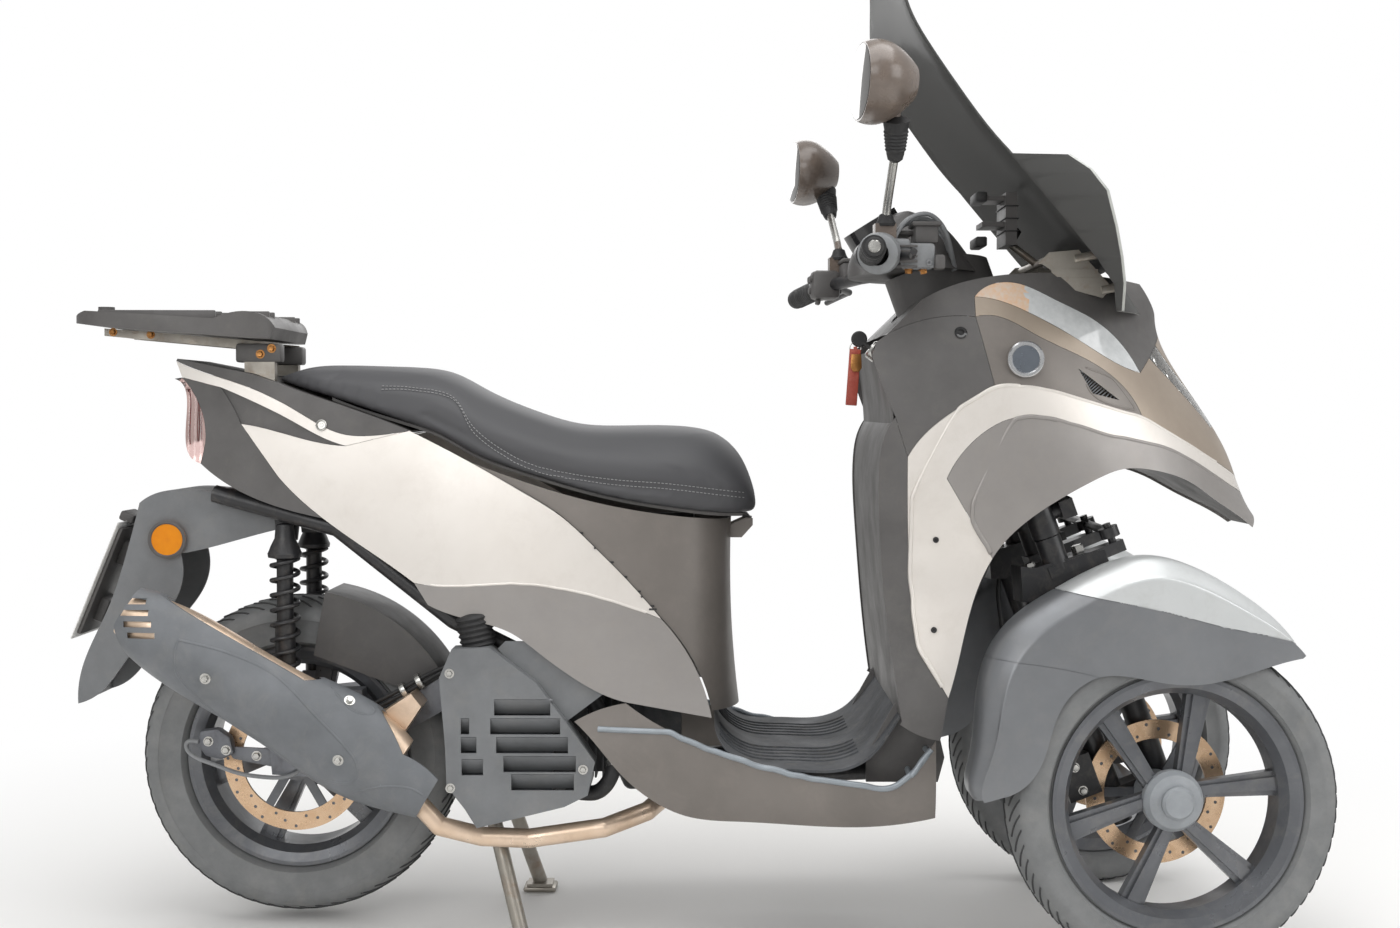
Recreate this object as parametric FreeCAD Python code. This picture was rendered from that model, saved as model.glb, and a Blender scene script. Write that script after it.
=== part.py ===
import FreeCAD, Part
import os
from math import asin, cos, degrees, hypot, radians, sin, tan

V = FreeCAD.Vector
os.makedirs("parts", exist_ok=True)

# Leaning three-wheeled scooter with two steered front wheels, standing on its centre stand.
# Millimetres. While it is modelled, x runs forward from the rear axle, y to the left, z up from the floor.
# When a piece is written, x moves back so that the origin is under the middle of the whole vehicle.

# Whole vehicle
wheelbase = 1350.0
track = 470.0
origin_ahead = 625.0          # from the rear axle to the middle of the vehicle's length
wall = 3.0                    # moulded body panels
seam = 0.6                    # gap between neighbouring panels
seat_clearance = 0.3          # gap where one piece sits on another
run_clearance = 6.0           # gap round a moving piece

# Wheels
rear_tyre_d = 512.0
rear_tyre_w = 130.0
rear_rim_d = 356.0            # over the rim flanges
rear_rim_w = 104.0
rear_axle_z = 273.0           # the stand holds the tyre off the floor
rear_disc_d = 230.0
front_tyre_d = 500.0
front_tyre_w = 92.0
front_rim_d = 384.0
front_rim_w = 78.0
front_disc_d = 220.0
disc_t = 4.0

# Steering
rake = 20.0                   # of the steering axes, from upright
trail = 68.0
kingpin_y = 158.0
parked_steer = 5.6            # degrees to the left, as it is parked
pitman_r = 95.0               # from a steering axis to the track rod's pin

# Handlebar
bar_half = 365.0
bar_end_x = 859.0
bar_z = 1050.0
grip_d = 34.0
bar_tube_d = 22.0

# Stand
stand_x = 318.0
stand_z = 196.0
stand_foot_x = 372.0
stand_foot_y = 149.0
stand_top_y = 92.0
stand_tube_d = 24.0
stand_pivot_d = 28.0

front_r = front_tyre_d / 2
rear_r = rear_tyre_d / 2
wheel_y = track / 2
slope = tan(radians(rake))
axis_dir = V(-sin(radians(rake)), 0, cos(radians(rake)))


def axis_x(z):
    """x of the steering axes at a height."""
    return wheelbase + trail - z * slope


def on_axis(z, y=0.0):
    return V(axis_x(z), y, z)


# Drawing helpers
def line_or_curve(points):
    if len(points) == 2:
        return Part.makeLine(points[0], points[1])
    curve = Part.BSplineCurve()
    curve.interpolate(points)
    return curve.toShape()


def closed_wire(stretches, place):
    """Wire of stretches, each a list of points that starts where the last one ends."""
    edges = []
    start = stretches[0][0]
    last = start
    for stretch in stretches:
        points = stretch if stretch[0] == last else [last] + stretch
        edges.append(line_or_curve([place(*p) for p in points]))
        last = points[-1]
    if last != start:
        edges.append(line_or_curve([place(*last), place(*start)]))
    return Part.Wire(edges)


def side_slab(stretches, y0, y1):
    """Solid between two values of y with a side-view outline given as (x, z)."""
    face = Part.Face(closed_wire(stretches, lambda x, z: V(x, y0, z)))
    return face.extrude(V(0, y1 - y0, 0))


def side_poly(points, y0, y1):
    return side_slab([[a, b] for a, b in zip(points, points[1:] + points[:1])], y0, y1)


def front_poly(points, x0, x1):
    """Solid between two values of x with a front-view outline given as (y, z)."""
    wire = Part.makePolygon([V(x0, y, z) for y, z in points + points[:1]])
    return Part.Face(wire).extrude(V(x1 - x0, 0, 0))


def plan_poly(points, z0, z1):
    wire = Part.makePolygon([V(x, y, z0) for x, y in points + points[:1]])
    return Part.Face(wire).extrude(V(0, 0, z1 - z0))


def box(x0, x1, y0, y1, z0, z1):
    return Part.makeBox(x1 - x0, y1 - y0, z1 - z0, V(x0, y0, z0))


def rod(a, b, d):
    return Part.makeCylinder(d / 2, (b - a).Length, a, b - a)


def pipe(points, d):
    """Round bar along straight runs, with round corners."""
    path = Part.makePolygon(points)
    start = (points[1] - points[0]).normalize()
    ring = Part.Wire([Part.makeCircle(d / 2, points[0], start)])
    return path.makePipeShell([ring], True, False, 2)


def turned(profile, centre):
    """Solid turned about an axis along y from (radius, y) points."""
    wire = Part.makePolygon([V(centre.x + r, centre.y + y, centre.z) for r, y in profile + profile[:1]])
    return Part.Face(wire).revolve(centre, V(0, 1, 0), 360)


def mirrored(shape):
    return shape.mirror(V(0, 0, 0), V(0, 1, 0))


def both_sides(shape):
    return Part.makeCompound([shape, mirrored(shape)])


def fused(shapes):
    return shapes[0].multiFuse(shapes[1:]).removeSplitter() if len(shapes) > 1 else shapes[0]


def cut_all(shape, tools):
    for tool in tools:
        shape = shape.cut(tool)
    return shape


# Placing what turns with the steering
def turn_steered(shape, y, angle=parked_steer):
    """Turn a piece about the steering axis that stands at y."""
    moved = shape.copy()
    moved.rotate(on_axis(0, y), axis_dir, angle)
    return moved


def lean_back(shape):
    """Place a piece drawn about an upright steering axis, with x ahead of it, y left and z along it."""
    moved = shape.copy()
    moved.rotate(V(0, 0, 0), V(0, 1, 0), -rake)
    moved.translate(V(wheelbase + trail, 0, 0))
    return moved


def wheel_rise(side):
    """How far the lean links lift this side so that its turned wheel still stands on the floor."""
    centre = V(wheelbase, side * wheel_y, front_r)
    turn = FreeCAD.Rotation(axis_dir, parked_steer)
    base = on_axis(0, side * kingpin_y)
    return front_r - (base + turn.multVec(centre - base)).z


def parked(shape, side):
    moved = turn_steered(shape, side * kingpin_y)
    moved.translate(V(0, 0, wheel_rise(side)))
    return moved


nodes = {}


def keep(name, shape):
    nodes[name] = shape


# Hulls that the body panels are cut from
def tail_section(x, low, middle, high, inset):
    w = [low - inset, middle - inset, high - inset]
    z = [330.0 - inset, 620.0, 960.0 + inset]
    left = [V(x, w[i], z[i]) for i in range(3)]
    right = [V(x, -w[i], z[i]) for i in reversed(range(3))]
    edges = [line_or_curve(left), Part.makeLine(left[-1], right[0]),
             line_or_curve(right), Part.makeLine(right[-1], left[0])]
    return Part.Wire(edges)


tail_stations = [(-260, 66, 86, 64), (-60, 114, 126, 98), (200, 150, 160, 128),
                 (430, 186, 176, 140), (600, 196, 158, 138), (760, 190, 132, 120)]


def tail_hull(inset):
    ends = {tail_stations[0][0]: -inset, tail_stations[-1][0]: inset}
    sections = [tail_section(x + ends.get(x, 0), low, middle, high, inset) for x, low, middle,
                high in tail_stations]
    return Part.makeLoft(sections, True)


front_levels = [(330, 218, 1470), (550, 232, 1530), (668, 238, 1548), (760, 240, 1508),
                (840, 234, 1461), (900, 222, 1420), (975, 196, 1388), (1060, 168, 1338)]
front_hull_back = 896.0


def front_section(z, half, nose, inset):
    w = half - inset
    n = nose - inset
    shape = [(0, 0.93), (0.22, 1.0), (0.46, 0.98), (0.72, 0.77), (0.91, 0.4)]
    first = front_hull_back - inset
    left = [V(first + (n - first) * along, w * share, z) for along, share in shape]
    points = left + [V(n, 0, z)] + [V(p.x, -p.y, z) for p in reversed(left)]
    return Part.Wire([line_or_curve(points), Part.makeLine(points[-1], points[0])])


def front_hull(inset):
    ends = {front_levels[0][0]: -inset, front_levels[-1][0]: inset}
    return Part.makeLoft([front_section(z + ends.get(z, 0), w, n, inset) for z, w, n in front_levels], True)


def sill_section(x, half, inset):
    points = [(170 - inset, half - 34), (240, half), (300, half), (400 + inset, half - 12)]
    left = [V(x, y - inset, z) for z, y in points]
    right = [V(x, -(y - inset), z) for z, y in reversed(points)]
    return Part.Wire([line_or_curve(left), Part.makeLine(left[-1], right[0]),
                      line_or_curve(right), Part.makeLine(right[-1], left[0])])


def sill_hull(inset):
    stations = [(440 - inset, 186), (600, 206), (800, 220), (950, 222), (1022 + inset, 214)]
    return Part.makeLoft([sill_section(x, w, inset) for x, w in stations], True)


tail_outer = tail_hull(0)
tail_inner = tail_hull(wall)
front_outer = front_hull(0)
front_inner = front_hull(wall)
sill_outer = sill_hull(0)
sill_inner = sill_hull(wall)
tail_shell = tail_outer.cut(tail_inner)
front_shell = front_outer.cut(front_inner)
sill_shell = sill_outer.cut(sill_inner)


def base_section(z, half, nose, inset):
    shape = [(270, 0.98), (430, 1.0), (560, 0.97), (640, 0.82), (688, 0.5)]
    left = [V(x - inset, (half - inset) * share, z) for x, share in shape]
    points = left + [V(nose - inset, 0, z)] + [V(p.x, -p.y, z) for p in reversed(left)]
    return Part.Wire([line_or_curve(points), Part.makeLine(points[-1], points[0])])


def base_hull(inset):
    levels = [(320 - inset, 190, 718), (500, 174, 700), (780 + inset, 160, 708)]
    return Part.makeLoft([base_section(z, w, n, inset) for z, w, n in levels], True)


base_shell = base_hull(0).cut(base_hull(wall))


# Side-view regions of the panels. Neighbours share a border, and each draws back from it by half a seam.
def normals(points):
    found = []
    for i in range(len(points)):
        (x0, z0), (x1, z1) = points[max(i - 1, 0)], points[min(i + 1, len(points) - 1)]
        length = hypot(x1 - x0, z1 - z0)
        found.append(((z0 - z1) / length, (x1 - x0) / length))
    return found


def end_normals(points):
    (x0, z0), (x1, z1) = points[0], points[1]
    (x2, z2), (x3, z3) = points[-2], points[-1]
    a, b = hypot(x1 - x0, z1 - z0), hypot(x3 - x2, z3 - z2)
    return ((z0 - z1) / a, (x1 - x0) / a), ((z2 - z3) / b, (x3 - x2) / b)


def drawn_in(stretches, by):
    """The same closed outline with every border moved inwards."""
    ring = [p for stretch in stretches for p in stretch[:-1]]
    area = sum(a[0] * b[1] - b[0] * a[1] for a, b in zip(ring, ring[1:] + ring[:1]))
    by = by if area > 0 else -by
    result = []
    for stretch in stretches:
        result.append([(x + nx * by, z + nz * by) for (x, z), (nx, nz) in zip(stretch, normals(stretch))])
    for i, stretch in enumerate(stretches):
        following = stretches[(i + 1) % len(stretches)]
        (ax, az), (bx, bz) = end_normals(stretch)[1], end_normals(following)[0]
        share = by / max(1 + ax * bx + az * bz, 0.15)
        corner = (stretch[-1][0] + (ax + bx) * share, stretch[-1][1] + (az + bz) * share)
        result[i][-1] = corner
        result[(i + 1) % len(stretches)][0] = corner
    return result


def region(stretches, by=seam / 2):
    return Part.Face(closed_wire(drawn_in(stretches, by), lambda x, z: V(x, 0, z)))


def back(points):
    return list(reversed(points))


def slab_of(face, y0, y1):
    moved = face.copy()
    moved.translate(V(0, y0, 0))
    return moved.extrude(V(0, y1 - y0, 0))


def paired(shell, face, inner_y=12.0):
    return both_sides(shell.common(slab_of(face, inner_y, 400)))


def across(shell, face):
    return shell.common(slab_of(face, -400, 400))


def solids_of(shape):
    return Part.makeCompound(shape.Solids)


# Front panels, borders as (x, z)
lamp_top = [(1066, 1007), (1083, 1022), (1125, 1030), (1189, 1006), (1262, 971), (1332, 893)]
lamp_low = [(1332, 893), (1309, 899), (1232, 939), (1147, 984), (1104, 1001), (1066, 1007)]
emblem_top = [(1066, 976), (1092, 978), (1159, 948), (1227, 917), (1269, 894), (1308, 858), (1325, 827)]
emblem_low = [(1325, 827), (1228, 852), (1135, 871), (1090, 871)]
emblem_back = [(1090, 871), (1066, 976)]
dash_low = [(1090, 871), (1044, 843), (993, 806), (960, 764)]
dash_foot = [(960, 764), (942, 824)]
dash_back = [(942, 824), (919, 883), (909, 916)]
dash_corner = [(909, 916), (916, 938)]
dash_shoulder = [(916, 938), (933, 950)]
dash_top = [(933, 950), (992, 972), (1066, 976)]
c_nose_top = [(1560, 708), (1470, 752), (1405, 786), (1325, 827)]
c_inner = [(1018, 732), (1055, 786), (1122, 824), (1180, 822), (1264, 799), (1348, 783), (1400, 765),
           (1462, 733), (1560, 692)]
c_leg_front = [(1088, 612), (1064, 560), (1042, 485), (1020, 405)]
c_leg_back = [(975, 480), (964, 600), (960, 764)]
arch_tip = [(1560, 692), (1549, 668), (1532, 648)]
arch_low = [(1532, 648), (1500, 670), (1454, 696), (1411, 722), (1348, 742), (1286, 745), (1244, 730),
            (1181, 697), (1123, 655), (1088, 612)]
top_line = [(985, 1002), (1040, 1027), (1124, 1043), (1240, 1046), (1352, 1037)]
top_cowl_low = [(1400, 968), (1345, 906), (1332, 893)]

lamp_face = region([lamp_top, lamp_low])
emblem_face = region([emblem_top, emblem_low, emblem_back])
dash_face = region([dash_top, back(emblem_back), dash_low, dash_foot, dash_back, dash_corner,
                    dash_shoulder])
c_face = region([c_leg_back, back(dash_low), back(emblem_low), back(c_nose_top), [(1560, 708), (1560, 692)],
                 back(c_inner), [(1018, 732), (1088, 612)], c_leg_front, [(1020, 405), (975, 480)]])
arch_face = region([c_inner, arch_tip, arch_low, [(1088, 612), (1018, 732)]])
top_cowl_face = region([top_line, [(1352, 1037), (1400, 968)], top_cowl_low, back(lamp_top),
                        [(1066, 1007), (1066, 976)], back(dash_top), [(933, 950), (985, 1002)]])
nose_face = region([back(lamp_low), back(top_cowl_low), [(1400, 968), (1600, 960)],
                    [(1600, 960), (1560, 708)],
                    c_nose_top, back(emblem_top), [(1066, 976), (1066, 1007)]])

headlamp_front = [(112, 955), (64, 962), (18, 812), (46, 806)]
headlamp_grown = [(112.6, 955.6), (63.4, 962.6), (17.4, 811.4), (46.6, 805.4)]
nose_ring = across(front_shell, nose_face)
keep("nose_cowl", nose_ring.cut(both_sides(front_poly(headlamp_grown, 1290, 1600))))
keep("headlamps", solids_of(nose_ring.common(both_sides(front_poly(headlamp_front, 1300, 1600)))))
keep("lamp_strips", paired(front_shell, lamp_face))
vent_slab = both_sides(side_poly([(1222, 898), (1288, 850), (1243, 860)], 20, 400))
disc_boss = rod(V(1137, 150, 911), V(1137, 226, 911), 54).cut(front_inner)
keep("emblem_panels",
     both_sides(fused([front_shell.common(slab_of(emblem_face, 12, 400)), disc_boss])).cut(vent_slab))
keep("front_covers", across(front_shell, c_face))
keep("arch_covers", across(front_shell, arch_face))
keep("dash_sides", paired(front_shell, dash_face))

roof_line = [(x, z - wall) for x, z in top_line]
roof_inner = region([roof_line, [roof_line[-1], (1400, 930)], [(1400, 930), (1340, 860)],
                     [(1340, 860), (985, 860)], [(985, 860), roof_line[0]]], 0)
stem_hole_r = 96.0
stem_hole = rod(on_axis(930), on_axis(1120), 2 * stem_hole_r)
keep("top_cowl", slab_of(top_cowl_face, -400, 400).common(front_outer)
     .cut(slab_of(roof_inner, -400, 400).common(front_inner)).cut(stem_hole))

# Liner that closes the nose from below
liner_rise = 4.0              # above the arches' low border
liner_low = [(x, z + liner_rise) for x, z in back(arch_low)[4:]]
liner_top = [(x, z + wall) for x, z in liner_low]
liner_face = region([liner_top, [liner_top[-1], liner_low[-1]], back(liner_low), [liner_low[0],
                                                                                  liner_top[0]]], 0)
keep("nose_liner", across(front_hull(wall + seam), liner_face))

# Rear panels, borders as (x, z)
silver_top = [(-72, 811), (-30, 803), (23, 789), (98, 777)]
strip_nose = [(98, 777), (199, 801)]
recess_lap = 4.0              # of the recessed panel behind its neighbours
silver_front = [(199, 801), (296, 752), (380, 705), (433, 672), (485, 625), (527, 583), (590, 512)]
silver_low = [(590, 512), (535, 533), (476, 550), (420, 561), (367, 566), (290, 562), (207, 566)]
silver_back = [(207, 566), (130, 618), (62, 664), (-10, 728)]
tail_front = [(-10, 728), (-72, 811)]
lower_front = [(668, 362), (645, 432), (590, 512)]
base_top = [(296, 752), (380, 722), (432, 706), (494, 690), (574, 675), (700, 661)]
tail_low = [(62, 664), (-20, 684), (-86, 712), (-137, 748)]
strip_low = [(98, 777), (60, 790), (10, 816), (-60, 849), (-106, 868)]
strip_tail = [(-106, 868), (-171, 884)]
strip_top = [(-182, 910), (-150, 897), (-60, 868), (20, 830), (94, 795), (140, 793), (199, 801)]
recess_back = [(-72, 811), (-88, 842), (-106, 868)]

side_borders = [silver_top, strip_nose, silver_front, silver_low, silver_back, tail_front]
side_face = region(side_borders)
lower_face = region([back(silver_low), back(lower_front), [(668, 362), (536, 386)],
                     [(536, 386), (500, 398), (458, 421), (400, 462), (360, 490), (295, 510), (229, 532)],
                     [(229, 532), (207, 566)]])
base_face = region([base_top, [(700, 661), (760, 655)], [(760, 655), (760, 352)], [(760, 352), (668, 362)],
                    lower_front, back(silver_front[1:])])
tail_face = region([back(strip_tail), back(recess_back), back(tail_front), [(-10, 728), (62, 664)],
                    tail_low, [(-137, 748), (-130, 800), (-171, 884)]])
strip_borders = [strip_top, back(strip_nose), strip_low, strip_tail, [(-171, 884), (-182, 910)]]
strip_face = region(strip_borders)
recess_face = region([recess_back, back(strip_low), back(silver_top)], -recess_lap)
cover_face = region([[(-182, 910), (-180, 914)], [(-180, 914), (-58, 890)],
                     [(-58, 890), (-36, 882), (69, 847), (199, 801)], back(strip_top)])

side_room = slab_of(region(side_borders, -seam / 2), 12, 400)
strips = tail_shell.common(slab_of(strip_face, 12, 400)).cut(side_room)
strip_room = slab_of(region(strip_borders, -seam / 2), 12, 400)
keep("side_covers", both_sides(Part.makeCompound([tail_shell.common(slab_of(side_face, 12, 400)), strips])))
keep("lower_covers", paired(tail_shell, lower_face))
keep("base_panel", across(base_shell, base_face))
recess_hull = tail_hull(wall + seam).cut(tail_hull(2 * wall + seam))
recess = recess_hull.common(slab_of(recess_face, 12, 400))
tail_side = tail_shell.common(slab_of(tail_face, 12, 400)).cut(side_room).cut(strip_room)
keep("tail_sides", both_sides(Part.makeCompound([tail_side, recess])))
cover_inner = region([[(-190, 911), (-58, 887)], [(-58, 887), (69, 843), (204, 795)],
                      [(204, 795), (0, 780)],
                      [(0, 780), (-190, 850)], [(-190, 850), (-190, 911)]], 0)
keep("tail_cover", slab_of(cover_face, -400, 400).common(tail_outer)
     .cut(slab_of(cover_inner, -400, 400).common(tail_inner)))
cover_room = slab_of(region([[(-184, 914), (-58, 890)], [(-58, 890), (-36, 882), (69, 847), (199, 801)],
                             [(199, 801), (199, 700)], [(199, 700), (-184, 800)],
                             [(-184, 800), (-184, 914)]],
                            -seat_clearance), -200, 200)

# Leg shield: the dark wall behind the front panels, with the strips that run forward beside it
shield_back = [(942, 824), (924, 790), (918, 753), (919, 663), (930, 522), (950, 371)]
shield_foot = [(950, 371), (935, 345), (906, 312)]
sill_nose = [(906, 267), (953, 272), (985, 303), (1008, 333)]
shield_face = region([shield_back, shield_foot, [(906, 312), (906, 267)], sill_nose,
                      [(1008, 333), (1020, 405)],
                      [(1020, 405), (975, 480)], c_leg_back, dash_foot])
wall_line = [(938, 816), (926, 788), (921, 753), (922, 663), (933, 522), (953, 371)]
wall_face = region([wall_line, [wall_line[-1], (953 + wall, 372)],
                    back([(x + wall, z) for x, z in wall_line]),
                    [(938 + wall, 816), wall_line[0]]], 0)
upper_line = [(919, 928), (929, 884), (937, 812)]
upper_face = region([upper_line, [upper_line[-1], (937 + wall, 808)],
                     back([(x + wall, z) for x, z in upper_line]),
                     [(919 + wall, 928), upper_line[0]]], 0)
keep("leg_shield", fused([across(front_shell, shield_face).common(box(890, 1100, -400, 400, 200, 900)),
                          across(front_hull(wall / 2), wall_face),
                          across(front_hull(wall + seam), upper_face)]))

# Floor and sills
sill_top = [(456, 355), (500, 376), (536, 385)]
sill_mid = [(536, 385), (600, 346), (668, 318), (763, 290), (835, 276), (906, 267)]
sill_low = [(1008, 214), (902, 200), (716, 206), (628, 214), (577, 238), (530, 276), (493, 318), (456, 355)]
sill_face = region([sill_top, sill_mid, sill_nose, [(1008, 333), (1008, 214)], sill_low])
keep("floor_sills", paired(sill_shell, sill_face, 100))
floor_front = (wall_line[-1][0], wall_line[-1][1] - seat_clearance)
floor_line = [(672, 350), (690, 318), (722, 297), (790, 290), (862, 291), (904, 309), (934, 343),
              floor_front]
floor_face = region([floor_line, [floor_line[-1], (floor_front[0] + 1, floor_front[1] - 4)],
                     back([(x + 1, z - 4) for x, z in floor_line]),
                     [(673, 346), floor_line[0]]], 0)
keep("floorboard", across(sill_hull(wall + seam), floor_face))

# Storage tub under the saddle
tub_x = (300.0, 640.0)
tub_y = 105.0
tub_z = (500.0, 660.0)
rail_d = 28.0
rail_points = [V(955, 88, 262), V(540, 88, 244), V(470, 120, 400), V(264, 130, 505), V(80, 118, 648),
               V(-120, 92, 700)]
tub = box(tub_x[0], tub_x[1], -tub_y, tub_y, tub_z[0], tub_z[1])
tub_ear = box(tub_x[0] + 2, tub_x[0] + 24, tub_y - wall / 2, tub_y + 30, tub_z[0] - 8, tub_z[0] + 10)
tub_ear = tub_ear.cut(pipe(rail_points, rail_d + 2 * seat_clearance))
keep("storage_tub", fused([tub, tub_ear, mirrored(tub_ear)]).cut(
    box(tub_x[0] + wall, tub_x[1] - wall, -tub_y + wall, tub_y - wall, tub_z[0] + wall, tub_z[1] + 1)))

# Saddle: soft upper part on a hard pan, hinged at its nose
saddle_pivot = V(728, 0, 654)
saddle_stations = [(-36, 880, 892, 40), (0, 868, 898, 82), (69, 848, 901, 110), (199, 806, 896, 132),
                   (243, 790, 889, 137),
                   (296, 761, 862, 141), (380, 730, 826, 148), (450, 709, 806, 152), (530, 690, 803, 154),
                   (610, 677, 803, 150), (675, 669, 790, 134), (716, 667, 752, 108), (738, 667, 696, 78)]
pan_t = 5.0


def saddle_section(x, low, top, half):
    sag = (top - low) * 0.16
    over = [V(x, -half, low), V(x, -half, low + (top - low) * 0.62), V(x, -half * 0.72, top - sag),
            V(x, 0, top),
            V(x, half * 0.72, top - sag), V(x, half, low + (top - low) * 0.62), V(x, half, low)]
    return Part.Wire([line_or_curve(over), Part.makeLine(over[-1], over[0])])


saddle = Part.makeLoft([saddle_section(x, low, top, half) for x, low, top, half in saddle_stations], True)
pan_low = [(x, low) for x, low, top, half in saddle_stations[2:-1]]
pan_high = [(x, z + pan_t) for x, z in pan_low]
pan_face = region([pan_low, [pan_low[-1], pan_high[-1]], back(pan_high), [pan_high[0], pan_low[0]]], 0)
below_saddle = [(-60, 895), (-36, 885)] + [(x, z + seat_clearance) for x, z in pan_high] + [(745, 674)]
pan_room = slab_of(region([below_saddle, [(745, 674), (745, 600)], [(745, 600), (-60, 600)],
                           [(-60, 600), below_saddle[0]]], 0), -300, 300)
keep("saddle", saddle.cut(pan_room).cut(cover_room))
pan_outline = [(x, half - 8) for x, low, top, half in saddle_stations[1:-1]]
pan_plan = plan_poly(pan_outline + [(x, -y) for x, y in back(pan_outline)], 600, 950)
lug_face = [(712, 668), (726, 666), (733, 658), (733, 648), (723, 648), (720, 658)]
pan = fused([slab_of(pan_face, -200, 200).common(pan_plan), side_poly(lug_face, -20, 20)])
hinge_pin_d = 8.0
pin_hole = rod(V(saddle_pivot.x, -60, saddle_pivot.z), V(saddle_pivot.x, 60, saddle_pivot.z),
               hinge_pin_d + 2 * seat_clearance)
keep("saddle_pan", pan.cut(pin_hole).cut(cover_room))
ear = side_poly([(690, 628), (716, 628), (734, 648), (734, 659), (723, 660), (690, 645)], 26, 34)
ear = ear.cut(base_hull(wall))
base_front = across(base_shell, base_face)
hinge_pin = rod(V(saddle_pivot.x, -34, saddle_pivot.z), V(saddle_pivot.x, 34, saddle_pivot.z), hinge_pin_d)
keep("base_panel", fused([base_front, ear, mirrored(ear), hinge_pin]))

# Tail lamp between the tail sides, and the mudguard that hangs below
lamp_region = region([[(-171, 884), (-130, 800), (-137, 748)], [(-137, 748), (-152, 756), (-163, 792),
                                                                (-184, 882)],
                      [(-184, 882), (-171, 884)]])
keep("tail_lamp", across(tail_outer, lamp_region))

guard_line = [(-246, 684), (-218, 700), (-140, 703), (-70, 703)]
guard_face = region([guard_line, [(-70, 703), (50, 652)], [(50, 652), (-25, 642), (-100, 622), (-181, 603)],
                     [(-181, 603), (-189, 531), (-228, 480), (-271, 430), (-311, 380), (-347, 362)],
                     [(-347, 362), (-340, 420), (-300, 510), (-265, 612), (-246, 684)]], 0)
guard_inner = guard_face.copy()
guard_inner.translate(V(wall * 1.2, 0, -wall))
mudguard_half = 74.0
mudguard = fused([slab_of(guard_face.cut(guard_inner), -mudguard_half, mudguard_half),
                  slab_of(guard_face, mudguard_half - wall, mudguard_half),
                  slab_of(guard_face, -mudguard_half, -mudguard_half + wall)])
tail_tube_x, tail_tube_z = -100.0, 695.0
tail_tube_room = rod(V(tail_tube_x, -200, tail_tube_z), V(tail_tube_x, 200, tail_tube_z), 28
                     + 2 * seat_clearance)
keep("rear_mudguard", mudguard.cut(tail_tube_room))
reflector = rod(V(-200, mudguard_half + seat_clearance, 626), V(-200, mudguard_half + 8, 626), 56)
keep("reflectors", both_sides(reflector))

# Carrier: steel bracket and the plate for a top box
bracket_side = side_poly([(-300, 950), (-300, 962), (-24, 940), (-24, 926), (-90, 931)], 66, 72)
bracket_foot = side_poly([(-74, 936), (-26, 932), (-26, 840), (-74, 860)], 68, 84).cut(cover_room)
cross_bars = [box(x, x + 22, -68, 68, z, z + 8) for x, z in ((-292, 950), (-102, 934))]
keep("carrier_bracket", fused([bracket_side, mirrored(bracket_side), bracket_foot, mirrored(bracket_foot)]
                              + cross_bars))
plate_low = [(-345, 970), (-300, 964), (-104, 948), (-60, 945), (-26, 944)]
plate_nose = [(-19, 962), (-30, 978), (-66, 986), (-104, 974)]
plate_side = region([plate_low, [plate_low[-1], plate_nose[0]], plate_nose, [plate_nose[-1], (-306, 986)],
                     [(-306, 986), (-345, 976)], [(-345, 976), plate_low[0]]], 0)
plate_plan = [(-345, 0), (-343, 60), (-330, 110), (-306, 142), (-270, 152), (-70, 140), (-30, 122),
              (-12, 84)]
plate_wire = closed_wire([plate_plan, [plate_plan[-1], (-12, -84)], [(x, -y) for x, y in back(plate_plan)]],
                         lambda x, y: V(x, y, 900))
plate = slab_of(plate_side, -160, 160).common(Part.Face(plate_wire).extrude(V(0, 0, 120)))
knob = Part.makeCylinder(13, 22, V(-322, 0, 978))
bracket_top = slab_of(region([[(-305, 962 + seat_clearance), (-20, 940 + seat_clearance)],
                              [(-20, 940 + seat_clearance), (-20, 900)], [(-20, 900), (-305, 900)],
                              [(-305, 900), (-305, 962 + seat_clearance)]], 0), -80, 80)
keep("carrier_plate", fused([plate, knob]).cut(bracket_top))

# Frame: head pipe, down tube, floor and seat rails, with pads under the floor
head_low, head_high = 684.0, 950.0            # along the steering axis from the floor
head_d, head_bore, stem_d = 52.0, 34.6, 34.0
lean_levels = (716.0, 812.0)                  # of the lean arms along the steering axis
lean_bar_back, lean_bar_t = 30.0, 22.0
lean_pin_d = 20.0
down_tube_d = 50.0
head_pipe = rod(V(0, 0, head_low), V(0, 0, head_high), head_d).cut(rod(V(0, 0, 0), V(0, 0, 1200),
                                                                       head_bore))
lean_pins = [rod(V(head_bore / 2 + 4, 0, s), V(lean_bar_back + lean_bar_t + 8, 0, s), lean_pin_d)
             for s in lean_levels]
stem_way = lean_back(rod(V(0, 0, 500), V(0, 0, 1200), head_bore))
down_tube = pipe([V(1146, 0, 700), V(990, 0, 330), V(952, 0, 262)], down_tube_d).cut(stem_way)
rail = pipe(rail_points, rail_d)
floor_pad = box(760, 800, 78, 98, 258, 286 - seat_clearance)
shock_top = V(-8, 98, 640)
eye_d, pin_d = 30.0, 12.0
shock_lug = fused([side_poly([(-30, 676), (-24, 626), (8, 626), (14, 676)], 78, 84),
                   box(-26, 10, 78, 106, 661, 674)])
shock_pin = rod(V(shock_top.x, 78, shock_top.z), V(shock_top.x, 112, shock_top.z), pin_d)
cross_tubes = [rod(V(x, -y, z), V(x, y, z), rail_d) for x, y, z in ((953, 88, 262), (655, 88, 249),
                                                                    (264, 130, 505),
                                                                    (tail_tube_x, 93, tail_tube_z))]
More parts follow.
